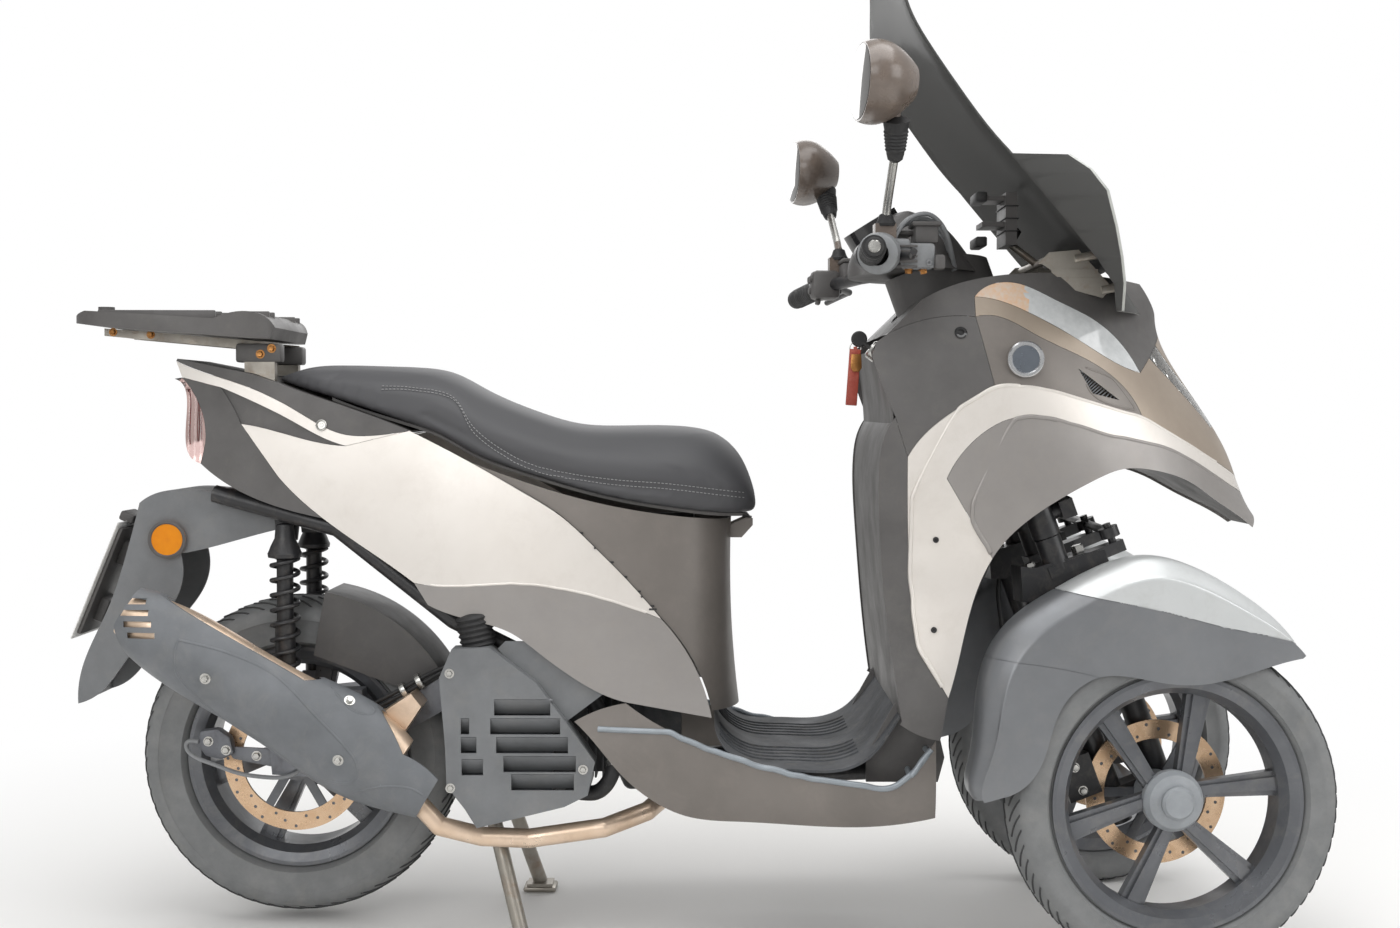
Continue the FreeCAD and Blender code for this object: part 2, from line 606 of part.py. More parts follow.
cover_tab = fused([side_poly([(58, 654), (96, 640), (106, 700), (84, 706)], 112, 118),
                   rod(V(94, 112, 690), V(94, 200, 690), 16).common(tail_hull(wall + seat_clearance))])
frame_pieces = [lean_back(fused([head_pipe] + lean_pins)), down_tube, rail, mirrored(rail), floor_pad,
                mirrored(floor_pad), cover_tab, mirrored(cover_tab), shock_lug, mirrored(shock_lug),
                shock_pin, mirrored(shock_pin)] + cross_tubes
keep("frame", fused(frame_pieces))

# Lean arms: two cross bars that carry the kingpin tubes
kingpin_d, kingpin_tube_d = 28.0, 44.0
kingpin_low, kingpin_high = 684.0, 846.0
lean_tilt = degrees(asin(wheel_rise(1) / kingpin_y))


def lean_bar(s):
    outline = [(-kingpin_y - 20, s - 14), (0, s - 22), (kingpin_y + 20, s - 14), (kingpin_y + 20, s + 14),
               (0, s + 22), (-kingpin_y - 20, s + 14)]
    bar = front_poly(outline, lean_bar_back, lean_bar_back + lean_bar_t)
    bar = bar.cut(rod(V(0, 0, s), V(100, 0, s), lean_pin_d + 2 * seat_clearance))
    bar.rotate(V(0, 0, s), V(1, 0, 0), lean_tilt)
    return lean_back(bar)


def kingpin_tube(side):
    tube = fused([rod(V(0, 0, kingpin_low), V(0, 0, kingpin_high), kingpin_tube_d)]
                 + [rod(V(0, 0, s), V(lean_bar_back + 4, 0, s), 24) for s in lean_levels])
    tube = tube.cut(rod(V(0, 0, 500), V(0, 0, 1000), kingpin_d + 2 * seat_clearance))
    tube.translate(V(0, side * kingpin_y, 0))
    tube = lean_back(tube)
    tube.translate(V(0, 0, wheel_rise(side)))
    return tube


keep("lean_arms", fused([lean_bar(s) for s in lean_levels] + [kingpin_tube(1), kingpin_tube(-1)]))


# Wheels: cast rim with three pairs of arms, brake disc, and tyre
axle_d = 20.0
arm_pairs = ((8, 75), (128, 195), (248, 315))
arm_root, arm_end = 11.0, 19.0                # half widths of an arm
arm_t, arm_rib_t = 16.0, 27.0
dome_d, cap_d = 92.0, 50.0                    # of the closed hub on a front wheel
axle_tip = 26.0                               # of a front axle inside that hub, from the wheel's middle


def polar(radius, angle):
    return radius * cos(radians(angle)), radius * sin(radians(angle))


def rim_profile(r, half):
    outer = [(r, half), (r, half - 4), (r - 9, half - 6), (r - 12, half - 14), (r - 24, half - 24)]
    inner = [(r - 30, half - 20), (r - 20, half - 4), (r - 6, half)]
    return outer + [(a, -y) for a, y in back(outer)] + [(a, -y) for a, y in back(inner)] + inner


def spoke(hub_r, rim_r, at_hub, at_rim):
    """Arm that widens towards the rim, with a narrower raised rib along it."""
    (x0, z0), (x1, z1) = polar(hub_r, at_hub), polar(rim_r, at_rim)
    length = hypot(x1 - x0, z1 - z0)
    nx, nz = (z0 - z1) / length, (x1 - x0) / length
    layers = []
    for at_root, at_end, half in ((arm_root, arm_end, arm_t / 2), (arm_root * 0.5, arm_end * 0.55,
                                                                   arm_rib_t / 2)):
        outline = [(x0 + nx * at_root, z0 + nz * at_root), (x1 + nx * at_end, z1 + nz * at_end),
                   (x1 - nx * at_end, z1 - nz * at_end), (x0 - nx * at_root, z0 - nz * at_root)]
        layers.append(side_poly(outline, -half, half))
    return layers


def disc_piece(disc_d, disc_y, hub_r):
    """Brake disc ring and its carrier, on the side towards -y."""
    inner_r = disc_d / 2 - 28
    ring = turned([(inner_r, disc_y), (disc_d / 2, disc_y), (disc_d / 2, disc_y + disc_t), (inner_r, disc_y
                                                                                            + disc_t)],
                  V(0, 0, 0))
    legs = []
    for i in range(6):
        leg = Part.makeBox(inner_r + 15 - hub_r, disc_t, 14, V(hub_r - 12, disc_y, -7))
        leg.rotate(V(0, 0, 0), V(0, 1, 0), i * 60)
        legs.append(leg)
    return [ring] + legs


def rim(flange_d, width, bore_d, hub_low, hub_high, disc_d, disc_y, closed):
    r = flange_d / 2
    hub_r = 34.0
    arms = []
    for first, second in arm_pairs:
        middle = (first + second) / 2
        arms += spoke(30, r - 25, middle - 14, first) + spoke(30, r - 25, middle + 14, second)
    outer = [(hub_r + 6, 14), (24, hub_high)]
    if closed:
        outer = [(dome_d / 2, 6), (dome_d / 2, 17), (dome_d / 2 - 6, 26), (cap_d / 2 + 4, 31),
                 (cap_d / 2, 32),
                 (cap_d / 2, hub_high - 4), (cap_d / 2 - 4, hub_high)]
    hub = turned([(0, hub_low), (hub_r, hub_low), (hub_r, -14), (hub_r + 6, -2)] + outer + [(0, hub_high)],
                 V(0, 0, 0))
    whole = fused([turned(rim_profile(r, width / 2), V(0, 0, 0)), hub] + arms + disc_piece(disc_d, disc_y,
                                                                                           hub_r))
    return whole.cut(rod(V(0, -200, 0), V(0, axle_tip + 2 if closed else 200, 0), bore_d))


def tyre(outer_d, width, rim_d, rim_w):
    crown, bead, half = outer_d / 2, rim_d / 2 - 10 + seat_clearance, rim_w / 2 - 6 - seat_clearance
    shoulder = crown - width * 0.16
    outer = [(rim_d / 2 + 2, half - 1), (rim_d / 2 + 10, width / 2 - 2), (shoulder - 10, width / 2),
             (shoulder + 4, width / 2 - 5), (crown - 6, width * 0.3), (crown - 1, width * 0.12), (crown, 0)]
    thick = 9.0
    inner = [(bead, half - 2), (bead, half - 11), (rim_d / 2 + 8, half - 12), (shoulder - 8,
                                                                               width / 2 - thick),
             (crown - 6 - thick, width * 0.26), (crown - thick, 0)]
    ring = [(bead, half - 2)] + outer + [(r, -y) for r, y in back(outer[:-1])]
    ring += [(r, -y) for r, y in inner[:-1]] + back(inner)[:-1]
    return turned(ring, V(0, 0, 0))


def at_wheel(shape, x, y, z):
    moved = shape.copy()
    moved.translate(V(x, y, z))
    return moved


front_disc_y = -62.0
rear_disc_y = -68.0
front_bore = axle_d + 2 * seat_clearance
front_rim_left = rim(front_rim_d, front_rim_w, front_bore, front_disc_y, 42, front_disc_d, front_disc_y,
                     True)
front_tyre_left = tyre(front_tyre_d, front_tyre_w, front_rim_d, front_rim_w)
rear_axle_d = 24.0
rear_rim = rim(rear_rim_d, rear_rim_w, rear_axle_d + 2 * seat_clearance, rear_disc_y - 4, 70, rear_disc_d,
               rear_disc_y,
               False)
keep("rim_rear", at_wheel(rear_rim, 0, 0, rear_axle_z))
keep("tyre_rear", at_wheel(tyre(rear_tyre_d, rear_tyre_w, rear_rim_d, rear_rim_w), 0, 0, rear_axle_z))

# Forks on the inner side of each front wheel, drawn about an upright kingpin and leaned back
axle_ahead = front_r * sin(radians(rake)) - trail * cos(radians(rake))
axle_up = front_r * cos(radians(rake)) + trail * sin(radians(rake))
leg_y = -14.0                                 # from the kingpin, with the wheel on the left
leg_ahead = (43.0, -38.0)
slider_d, stanchion_d = 40.0, 30.0
slider_low, slider_high, holder_low, holder_high = 226.0, 500.0, 604.0, 648.0
fender_half = front_tyre_w / 2 + run_clearance + wall
fender_inner_y = wheel_y - kingpin_y - fender_half
arm_top = 640.0                               # face of the steering arms that the track rod runs above
rod_level = 656.0
holder_outline = [(-74, 604), (-50, 596), (-13, 604), (74, 606), (74, 636), (40, 642), (-40, 647),
                  (-59, 657)]
holder_y = (-36.0, 18.0)


def steering_arm():
    arm = plan_poly([(-20, -20), (60, -18), (pitman_r + 14, -10), (pitman_r + 14, 10), (60, 18), (-20, 20)],
                    arm_top - 18, arm_top)
    return fused([arm, rod(V(pitman_r, 0, arm_top - 4), V(pitman_r, 0, rod_level + 14), pin_d)])


fork_holder = fused([side_poly(holder_outline, holder_y[0], holder_y[1]), steering_arm(),
                     rod(V(0, 0, 630), V(0, 0, kingpin_low - 2), 40),
                     rod(V(0, 0, 640), V(0, 0, kingpin_high + 8), kingpin_d)])
fork_holder = cut_all(fork_holder, [rod(V(a, leg_y, 560), V(a, leg_y, 628), stanchion_d
                                        + 2 * seat_clearance)
                                    for a in leg_ahead])
sliders = [rod(V(a, leg_y, slider_low), V(a, leg_y, slider_high), slider_d) for a in leg_ahead]
stanchions = [rod(V(a, leg_y, slider_high - 10), V(a, leg_y, 628 - seat_clearance), stanchion_d)
              for a in leg_ahead]
axle_block = box(-58, 64, leg_y - 18, leg_y + 18, 236, 282)
front_axle = rod(V(axle_ahead, leg_y - 18, axle_up), V(axle_ahead, wheel_y - kingpin_y + axle_tip, axle_up),
                 axle_d)
disc_room = rod(V(axle_ahead, wheel_y - kingpin_y + front_disc_y - 5, axle_up),
                V(axle_ahead, wheel_y - kingpin_y + front_disc_y + disc_t + 5, axle_up), front_disc_d + 10)
caliper = fused([box(-112, -60, leg_y + 4, 32, 292, 356), box(-66, -38, leg_y - 8, leg_y + 8, 300, 346)])
fender_stays = [box(a - 13, a + 13, leg_y, fender_inner_y - seat_clearance, 458, 496) for a in leg_ahead]
fork_legs = fused(sliders + stanchions + [axle_block, front_axle, caliper.cut(disc_room)] + fender_stays)

# Front fender over each wheel, drawn about the wheel's own middle plane. Its round hull is lofted through
# sections that stand radially on the axle: angle from straight ahead, radius of the crown, share of the
# half width, and how deep the rounding of the crown goes.
fender_stations = [(45, 288, 0.86, 22), (50.2, 297, 0.93, 28), (56.7, 307.6, 1.0, 40), (70.3, 326, 1.0, 55),
                   (85.8, 354, 1.0, 66), (95.7, 369.5, 1.0, 68), (107.4, 367, 1.0, 68), (118.2, 362, 1.0,
                                                                                         66),
                   (129.7, 364, 1.0, 66), (141.5, 356, 1.0, 64), (153, 331, 1.0, 56), (168.5, 311, 1.0, 42),
                   (181, 287, 0.95, 30)]
fender_low = [(1090, 269), (1140, 320), (1168, 397), (1218, 439), (1311, 433), (1386, 429), (1478, 452),
              (1536, 465)]
fender_foot_r = 160.0         # of the hull, below everything that is kept
groove_w, groove_deep = 1.4, 1.0              # between the fender's mouldings
cap_line = [(1165, 570), (1176, 567), (1324, 536), (1416, 512), (1479, 500), (1550, 482)]
flap_line = [(1040, 472), (1067, 468), (1140, 458), (1225, 440)]


def fender_section(angle, crown_r, share, depth, inset):
    along = V(cos(radians(angle)), 0, sin(radians(angle)))
    half, crown = fender_half * share - inset, crown_r - inset

    def point(radius, y):
        return V(wheelbase, y, front_r) + along * radius

    rise = [(crown - depth, 1.0), (crown - depth * 0.42, 0.93), (crown - depth * 0.11, 0.6)]
    over = [point(r, -half * w) for r, w in rise] + [point(crown, 0)] + [point(r, half * w) for r,
                                                                         w in back(rise)]
    curve = Part.BSplineCurve()
    curve.interpolate(Points=over, InitialTangent=along, FinalTangent=along * -1)
    foot = [point(fender_foot_r - inset, half), point(fender_foot_r - inset, -half)]
    return Part.Wire([curve.toShape(), Part.makeLine(over[-1], foot[0]), Part.makeLine(foot[0], foot[1]),
                      Part.makeLine(foot[1], over[0])])


def fender_hull(inset):
    ends = {fender_stations[0][0]: -inset / 4, fender_stations[-1][0]: inset / 4}
    return Part.makeLoft([fender_section(a + ends.get(a, 0), r, w, d, inset) for a, r, w,
                          d in fender_stations], True)


fender_region = region([fender_low, [(1536, 465), (1562, 486)], [(1562, 486), (1562, 700)],
                        [(1562, 700), (1010, 700)],
                        [(1010, 700), (1010, 248)], [(1010, 248), (1090, 269)]], 0)
wheel_room = rod(V(wheelbase, -fender_half + wall, front_r), V(wheelbase, fender_half - wall, front_r),
                 front_tyre_d + 2 * run_clearance)
fender = fender_hull(0).cut(fender_hull(wall)).common(slab_of(fender_region, -fender_half - 1, fender_half
                                                              + 1))
fender = fender.cut(wheel_room)
groove_floor = fender_hull(groove_deep)
for line in (cap_line, flap_line):
    upper = [(x, z + groove_w / 2) for x, z in line]
    lower = [(x, z - groove_w / 2) for x, z in line]
    strip = region([upper, [upper[-1], lower[-1]], back(lower), [lower[0], upper[0]]], 0)
    fender = fender.cut(slab_of(strip, -fender_half - 1, fender_half + 1).cut(groove_floor))
fender = Part.makeCompound([s for s in fender.Solids if s.Volume > 20000])

for side, word in ((1, "left"), (-1, "right")):
    def placed_here(shape, flip=(side < 0)):
        return parked(mirrored(shape) if flip else shape, side)

    at_kingpin = []
    for piece in (fork_holder, fork_legs):
        moved = piece.copy()
        moved.translate(V(0, kingpin_y, 0))
        at_kingpin.append(placed_here(lean_back(moved)))
    keep("fork_holder_" + word, at_kingpin[0])
    keep("fork_legs_" + word, at_kingpin[1])
    keep("fender_" + word, placed_here(at_wheel(fender, 0, wheel_y, 0)))
    keep("rim_" + word, placed_here(at_wheel(front_rim_left, wheelbase, wheel_y, front_r)))
    keep("tyre_" + word, placed_here(at_wheel(front_tyre_left, wheelbase, wheel_y, front_r)))

# Track rod between the steering arms, pinned in the middle to the steering stem
rod_eye = rod(V(pitman_r, 0, rod_level - 8), V(pitman_r, 0, rod_level + 8), eye_d)
rod_eyes = []
for side in (0, 1, -1):
    eye = rod_eye.cut(rod(V(pitman_r, 0, 500), V(pitman_r, 0, 800), pin_d + 2 * seat_clearance))
    eye.translate(V(0, side * kingpin_y, 0))
    eye = turn_steered(lean_back(eye), side * kingpin_y)
    if side:
        eye.translate(V(0, 0, wheel_rise(side)))
    rod_eyes.append(eye)
eye_centres = [eye.Solids[0].CenterOfMass for eye in rod_eyes]
bars = [rod(eye_centres[0] + (end - eye_centres[0]) * 0.06, end - (end - eye_centres[0]) * 0.06, 14)
        for end in eye_centres[1:]]
keep("track_rod", fused(rod_eyes + bars))

# Steering stem with its arm, and the handlebar
stem_top = 1128.0
stem = fused([rod(V(0, 0, arm_top - 18), V(0, 0, stem_top), stem_d), steering_arm()])
keep("steering_stem", turn_steered(lean_back(stem), 0))
bar_points = [V(bar_end_x, bar_half, bar_z), V(880, 230, bar_z + 6), V(930, 120, bar_z + 12),
              V(985, 60, bar_z + 16)]
bar = pipe(bar_points + [V(p.x, -p.y, p.z) for p in back(bar_points)], bar_tube_d)
clamp = box(972, 1040, -34, 34, bar_z - 2, bar_z + 34)
grip_y = 228.0
switches = [rod(bar_points[1] + V(0, -24, 1), bar_points[1] + V(0, -2, 1), 44)]
stem_room = lean_back(rod(V(0, 0, 900), V(0, 0, stem_top + seat_clearance), stem_d + 2 * seat_clearance))
bar_all = fused([bar, clamp] + switches + [mirrored(s) for s in switches]).cut(stem_room)
keep("handlebar", turn_steered(bar_all, 0))
grip_way = (bar_points[0] - bar_points[1]).normalize()
grip = rod(bar_points[1] + grip_way * 4, bar_points[0] + grip_way * 8, grip_d)
grip = grip.cut(rod(bar_points[1] - grip_way * 4, bar_points[0] + grip_way * seat_clearance, bar_tube_d
                    + 2 * seat_clearance))
keep("grips", turn_steered(both_sides(grip), 0))
lever = fused([rod(V(905, 214, bar_z + 6), V(936, 262, bar_z + 2), 12), rod(V(936, 262, bar_z + 2),
                                                                            V(914, 372, bar_z - 6), 10),
               box(882, 912, 204, 226, bar_z - 6, bar_z + 20)])
lever = lever.cut(rod(bar_points[1] + V(0, -30, 1), bar_points[1] + V(0, 4, 1), 44 + 2 * seat_clearance))
lever = lever.cut(rod(bar_points[1], bar_points[2], bar_tube_d + 2 * seat_clearance))
keep("levers", turn_steered(both_sides(Part.makeCompound([s for s in lever.Solids if s.Volume > 3000])), 0))


def cover_section(z, x0, x1, half, inset):
    left = [V(x0 + inset + 8, half * 0.62, z), V((x0 + x1) / 2 - 12, half - inset, z),
            V(x1 - inset - 26, half * 0.62, z)]
    ring = [V(x0 + inset, 0, z)] + left + [V(x1 - inset, 0, z)] + [V(p.x, -p.y, p.z) for p in back(left)]
    curve = Part.BSplineCurve()
    curve.interpolate(ring, True)
    return Part.Wire([curve.toShape()])


def bar_cover(inset):
    levels = [(bar_z + 2 + inset, 900, 1104, 122), (bar_z + 35, 904, 1080, 124), (bar_z + 68, 922, 1056,
                                                                                  108),
              (bar_z + 98 - inset, 950, 1016, 66)]
    return Part.makeLoft([cover_section(z, x0, x1, half, inset) for z, x0, x1, half in levels], True)


cover_low = bar_z + 2
boot_r = stem_hole_r - 2 * run_clearance
boot = lean_back(rod(V(0, 0, 1052), V(0, 0, 1140), 2 * boot_r))
bar_run = bar_points[1:] + [V(p.x, -p.y, p.z) for p in back(bar_points[1:])]
bar_room = fused([pipe(bar_run, bar_tube_d + 2 * seat_clearance), box(971, 1041, -35, 35, bar_z - 3, bar_z
                                                                      + 35)])
cover_body = fused([bar_cover(0), boot.common(box(800, 1300, -200, 200, 900, bar_z + 30))])
cover_body = cover_body.cut(bar_room).cut(stem_room)
keep("handlebar_cover", turn_steered(Part.makeCompound([max(cover_body.Solids, key=lambda s: s.Volume)]),
                                     0))
meter = rod(V(938, 0, 1112), V(922, 0, 1138), 96).cut(bar_cover(-seat_clearance))
keep("meter", turn_steered(Part.makeCompound([max(meter.Solids, key=lambda s: s.Volume)]), 0))

# Mirrors on thin stalks
mirror_z = {1: 1276.0, -1: 1290.0}


def mirror(side):
    z = mirror_z[side]
    head = Part.makeLoft([Part.Wire([Part.Ellipse(V(x, 330 + wide, z), V(x, 330, z + high),
                                                  V(x, 330, z)).toShape()])
                          for x, wide, high in ((846, 80, 54), (872, 84, 58), (900, 66, 46),
                                                (924, 34, 24))], True)
    stalk = pipe([V(906, 206, bar_z + 22), V(908, 206, 1121), V(905, 290, 1200), V(900, 326, z - 20)], 12)
    base = box(890, 922, 196, 216, bar_z + 20 + seat_clearance, bar_z + 56)
    return fused([head, stalk, base]).cut(rod(V(880, 180, bar_z + 7), V(880, 240, bar_z + 7), 44
                                              + 2 * seat_clearance))


keep("mirrors", turn_steered(Part.makeCompound([mirror(1), mirrored(mirror(-1))]), 0))

# Windscreen: a bent sheet whose lower corners flare out, and the brackets behind it
screen_t = 4.0
upper_levels = [(1215, 1146, 1113, 240), (1227, 1137, 1102, 240), (1315, 1064, 1032, 240), (1380, 1012, 987,
                                                                                            240),
                (1441, 974, 956, 237), (1500, 958, 948, 226), (1558, 951, 944, 192), (1590, 949, 946, 120)]
lobe_levels = [(1215, 1146, 1113, 240, 244, 1117), (1205, 1155, 1121, 240, 300, 1185), (1180, 1178, 1142,
                                                                                        240, 325, 1212),
               (1148, 1208, 1169, 240, 340, 1232), (1100, 1252, 1210, 240, 312, 1252), (1060, 1290, 1244,
                                                                                        236, 280, 1268),
               (1023, 1325, 1271, 228, 250, 1280), (985, 1360, 1284, 190, 200, 1290)]


def sheet_line(z, middle, edge, half, shift):
    points = [(edge, -half), (middle - (middle - edge) * 0.3, -half * 0.55), (middle, 0),
              (middle - (middle - edge) * 0.3, half * 0.55), (edge, half)]
    return [V(x + shift, y, z) for x, y in points]


def upper_section(z, middle, edge, half):
    front, rear = sheet_line(z, middle, edge, half, 0), back(sheet_line(z, middle, edge, half, -screen_t))
    return Part.Wire([line_or_curve(front), Part.makeLine(front[-1], rear[0]), line_or_curve(rear),
                      Part.makeLine(rear[-1], front[0])])


def lobe_section(z, middle, edge, half, out_y, out_x):
    rings = []
    for shift in (0, -screen_t):
        line = sheet_line(z, middle, edge, half, shift)
        first, last = V(out_x + shift, -out_y, z), V(out_x + shift, out_y, z)
        rings.append([Part.makeLine(first, line[0]), line_or_curve(line), Part.makeLine(line[-1], last)])
    f0, f1 = V(out_x, -out_y, z), V(out_x, out_y, z)
    r0, r1 = V(out_x - screen_t, -out_y, z), V(out_x - screen_t, out_y, z)
    return Part.Wire(Part.__sortEdges__(rings[0] + rings[1] + [Part.makeLine(f0, r0), Part.makeLine(f1,
                                                                                                    r1)]))


screen_upper = Part.makeLoft([upper_section(*level) for level in upper_levels], True)
screen_lower = Part.makeLoft([lobe_section(*level) for level in lobe_levels], True, True)
screen = fused([screen_upper, screen_lower]).cut(front_hull(-run_clearance))
keep("windscreen", Part.makeCompound([max(screen.Solids, key=lambda s: s.Volume)]))
screen_plate = side_poly([(1150, 1040), (1187, 1078), (1232, 1082), (1284, 1024), (1270, 1008)], 140, 146)
standoffs = [rod(V(1226, 143, 1068), V(1280, 143, 1078), 14), rod(V(1268, 143, 1020), V(1330, 143, 1032),
                                                                  14)]
phone_plate = fused([box(1138, 1156, -42, 42, 1100, 1184), box(1102, 1140, -30, 30, 1130, 1138),
                     box(1102, 1140, -30, 30, 1172, 1180)])
screen_foot = box(1190, 1262, 138, 148, 1040, 1052).cut(front_outer)
screen_bracket = fused([screen_plate, screen_foot] + standoffs)
cross_bar = rod(V(1196, -146, 1072), V(1196, 146, 1072), 12)
phone_stalk = rod(V(1196, 0, 1072), V(1148, 0, 1108), 12)
brackets = fused([screen_bracket, mirrored(screen_bracket), cross_bar, phone_stalk])
screen_room = fused([screen_upper, screen_lower])
screen_room.translate(V(-seat_clearance, 0, 0))
brackets = brackets.cut(screen_room).cut(front_outer)
keep("screen_brackets", Part.makeCompound([max(brackets.Solids, key=lambda s: s.Volume)]))
keep("phone_holder", phone_plate.cut(phone_stalk))

# Engine block with its cylinder lying forward, and the drive case on the left that carries the rear axle
engine_x = (310.0, 470.0)
engine_half = 74.0
case_y = (75.3, 148.0)
engine = fused([box(engine_x[0], engine_x[1], -engine_half, engine_half, 216, 410),
                box(engine_x[1] - 5, 560, -52, 52, 250, 372), box(560, 618, -60, 60, 244, 380)]
               + [box(x, x + 3, -62, 62, 242, 380) for x in (480, 492, 504, 516, 528, 540)])
stand_lug = box(stand_x - 22, stand_x + 22, 40, 54, stand_z - 18, 218)
stand_lug = stand_lug.cut(rod(V(stand_x, 0, stand_z), V(stand_x, 100, stand_z), stand_pivot_d
                              + 2 * seat_clearance))
keep("engine", fused([engine, stand_lug, mirrored(stand_lug)]))
pulley_front, pulley_back = V(385, 0, 310), V(0, 0, 278)
front_pulley_r, back_pulley_r = 90.0, 80.0


def case_outline(grow=0.0):
    lean = degrees(asin((pulley_front.z - pulley_back.z) / (pulley_front - pulley_back).Length))
    ring = []
    for centre, r, low, high in ((pulley_front, front_pulley_r, -84, 96), (pulley_back, back_pulley_r, 96,
                                                                           276)):
        for i in range(9):
            a = radians(low + (high - low) * i / 8 + lean)
            ring.append((centre.x + (r + grow) * cos(a), centre.z + (r + grow) * sin(a)))
    return ring


drive_case = side_poly(case_outline(), case_y[0], case_y[1] - 14)
drive_cover = side_poly(case_outline(-8), case_y[1] - 15, case_y[1])
case_ribs = [rod(V(centre.x, case_y[1] - 2, centre.z), V(centre.x, case_y[1] + 6, centre.z), r)
             for centre, r in ((pulley_front, 96), (pulley_back, 80))]
rear_axle = rod(V(0, -104, rear_axle_z), V(0, case_y[0] + 4, rear_axle_z), rear_axle_d)
shock_low = V(-8, 98, 378)
case_lug = side_poly([(-34, 350), (-24, 392), (8, 392), (20, 350)], 78, 84)
shock_low_pin = rod(V(shock_low.x, 78, shock_low.z), V(shock_low.x, 112, shock_low.z), pin_d)
keep("drive_case", fused([drive_case, drive_cover, rear_axle, case_lug, shock_low_pin] + case_ribs))

# Right arm with the lower shock lug and the rear brake caliper
arm_y = (-92.0, -engine_half - 6.3)
arm_outline = [(-32, 252), (-36, 292), (-30, 316), (16, 330), (137, 345), (245, 413), (334, 408),
               (334, 383), (262, 368), (177, 318), (36, 248)]
right_arm = side_poly(arm_outline, arm_y[0], arm_y[1])
rear_caliper = box(56, 112, arm_y[0], -56, 318, 388)
rear_disc_room = rod(V(0, rear_disc_y - 5, rear_axle_z), V(0, rear_disc_y + disc_t + 5, rear_axle_z),
                     rear_disc_d + 10)
arm_boss = rod(V(0, arm_y[0] - 4, rear_axle_z), V(0, arm_y[1] + 1, rear_axle_z), 48)
arm_seat = [rod(V(x, arm_y[1] - 2, z), V(x, -engine_half - seat_clearance, z), 20) for x,
            z in ((322, 394),)]
arm_lug = side_poly([(-32, 290), (-24, 382), (8, 382), (24, 300)], arm_y[1] - 4, arm_y[1])
right_arm = fused([right_arm, rear_caliper.cut(rear_disc_room), arm_boss, mirrored(shock_low_pin), arm_lug]
                  + arm_seat)
keep("right_arm", right_arm.cut(rod(V(0, -200, rear_axle_z), V(0, 0, rear_axle_z), rear_axle_d
                                    + 2 * seat_clearance)))

# Rear shock absorbers: damper body, rod and spring
spring_d, spring_wire, coils = 48.0, 8.0, 8
shock_way = shock_top - shock_low
shock_length = shock_way.Length


def shock(low, way, length):
    pitch = (length - 88) / coils
    ridges = []
    for i in range(coils):
        z = 44 + i * pitch
        ridges += [(spring_d / 2 - spring_wire, z), (spring_d / 2, z + pitch * 0.25), (spring_d / 2, z
                                                                                       + pitch * 0.5),
                   (spring_d / 2 - spring_wire, z + pitch * 0.75)]
    profile = [(0, 4), (14, 4), (14, 30), (spring_d / 2 + 1, 32), (spring_d / 2 + 1, 42)] + ridges
    profile += [(spring_d / 2 + 1, length - 42), (spring_d / 2 + 1, length - 34), (15, length - 30),
                (12, length - 4),
                (0, length - 4)]
    wire = Part.makePolygon([V(r, 0, z) for r, z in profile + profile[:1]])
    body = Part.Face(wire).revolve(V(0, 0, 0), V(0, 0, 1), 360)
    eyes = [rod(V(0, -12.5, z), V(0, 12.5, z), eye_d) for z in (0, length)]
    holes = [rod(V(0, -20, z), V(0, 20, z), pin_d + 2 * seat_clearance) for z in (0, length)]
    whole = cut_all(fused([body] + eyes), holes)
    whole.rotate(V(0, 0, 0), V(0, 1, 0), degrees(asin(way.x / length)))
    whole.translate(low)
    return whole


keep("rear_shocks", both_sides(shock(shock_low, shock_way, shock_length)))

# Radiator on the engine's right side and its louvred shroud
radiator_y = (-152.0, -126.0)
core = box(280, 420, radiator_y[0] + seat_clearance, radiator_y[1], 226, 396)
core_fins = [box(276, 424, radiator_y[0] + seat_clearance, radiator_y[1], z, z + 4) for z in range(234, 392,
                                                                                                   14)]
fan = rod(V(350, radiator_y[1] - 1, 311), V(350, -engine_half - seat_clearance, 311), 132)
keep("radiator", fused([core, fan] + core_fins))

shroud_outline = [(270, 468), (327, 471), (399, 417), (448, 352), (489, 295), (478, 244), (442, 226),
                  (308, 193),
                  (290, 222), (262, 258), (260, 316), (251, 424)]
shroud_borders = [[a, b] for a, b in zip(shroud_outline, shroud_outline[1:] + shroud_outline[:1])]
shroud_y = (-196.0, radiator_y[0])
shroud = slab_of(region(shroud_borders, 0), shroud_y[0], shroud_y[1])
shroud = shroud.cut(slab_of(region(shroud_borders, wall), shroud_y[0] + wall, shroud_y[1] + 1))
louvres = [(335, 421, 379), (329, 436, 350), (338, 448, 321), (349, 460, 292), (361, 457, 264)]
small_louvres = [(284, 297, 350), (284, 308, 321), (285, 318, 287)]
window_h, slat_t, slat_lean = 25.0, 2.4, 38.0
windows = [box(x0, x1, shroud_y[0] - 1, shroud_y[0] + wall + 1, z - window_h / 2, z + window_h / 2)
           for x0, x1, z in louvres + small_louvres]
slats = []
for x0, x1, z in louvres + small_louvres:
    slat = box(x0 - 3, x1 + 3, -slat_t / 2, slat_t / 2, -window_h * 0.62, window_h * 0.62)
    slat.rotate(V(0, 0, 0), V(1, 0, 0), slat_lean)
    slat.translate(V(0, shroud_y[0] + wall + 8, z))
    slats.append(slat)
filler = side_poly([(338, 466), (350, 478), (385, 478), (500, 396), (452, 360), (444, 354)], shroud_y[0]
                   + 20,
                   shroud_y[0] + 20 + wall).common(tail_hull(wall + seam))
keep("radiator_shroud", fused([cut_all(shroud, windows), filler] + slats))

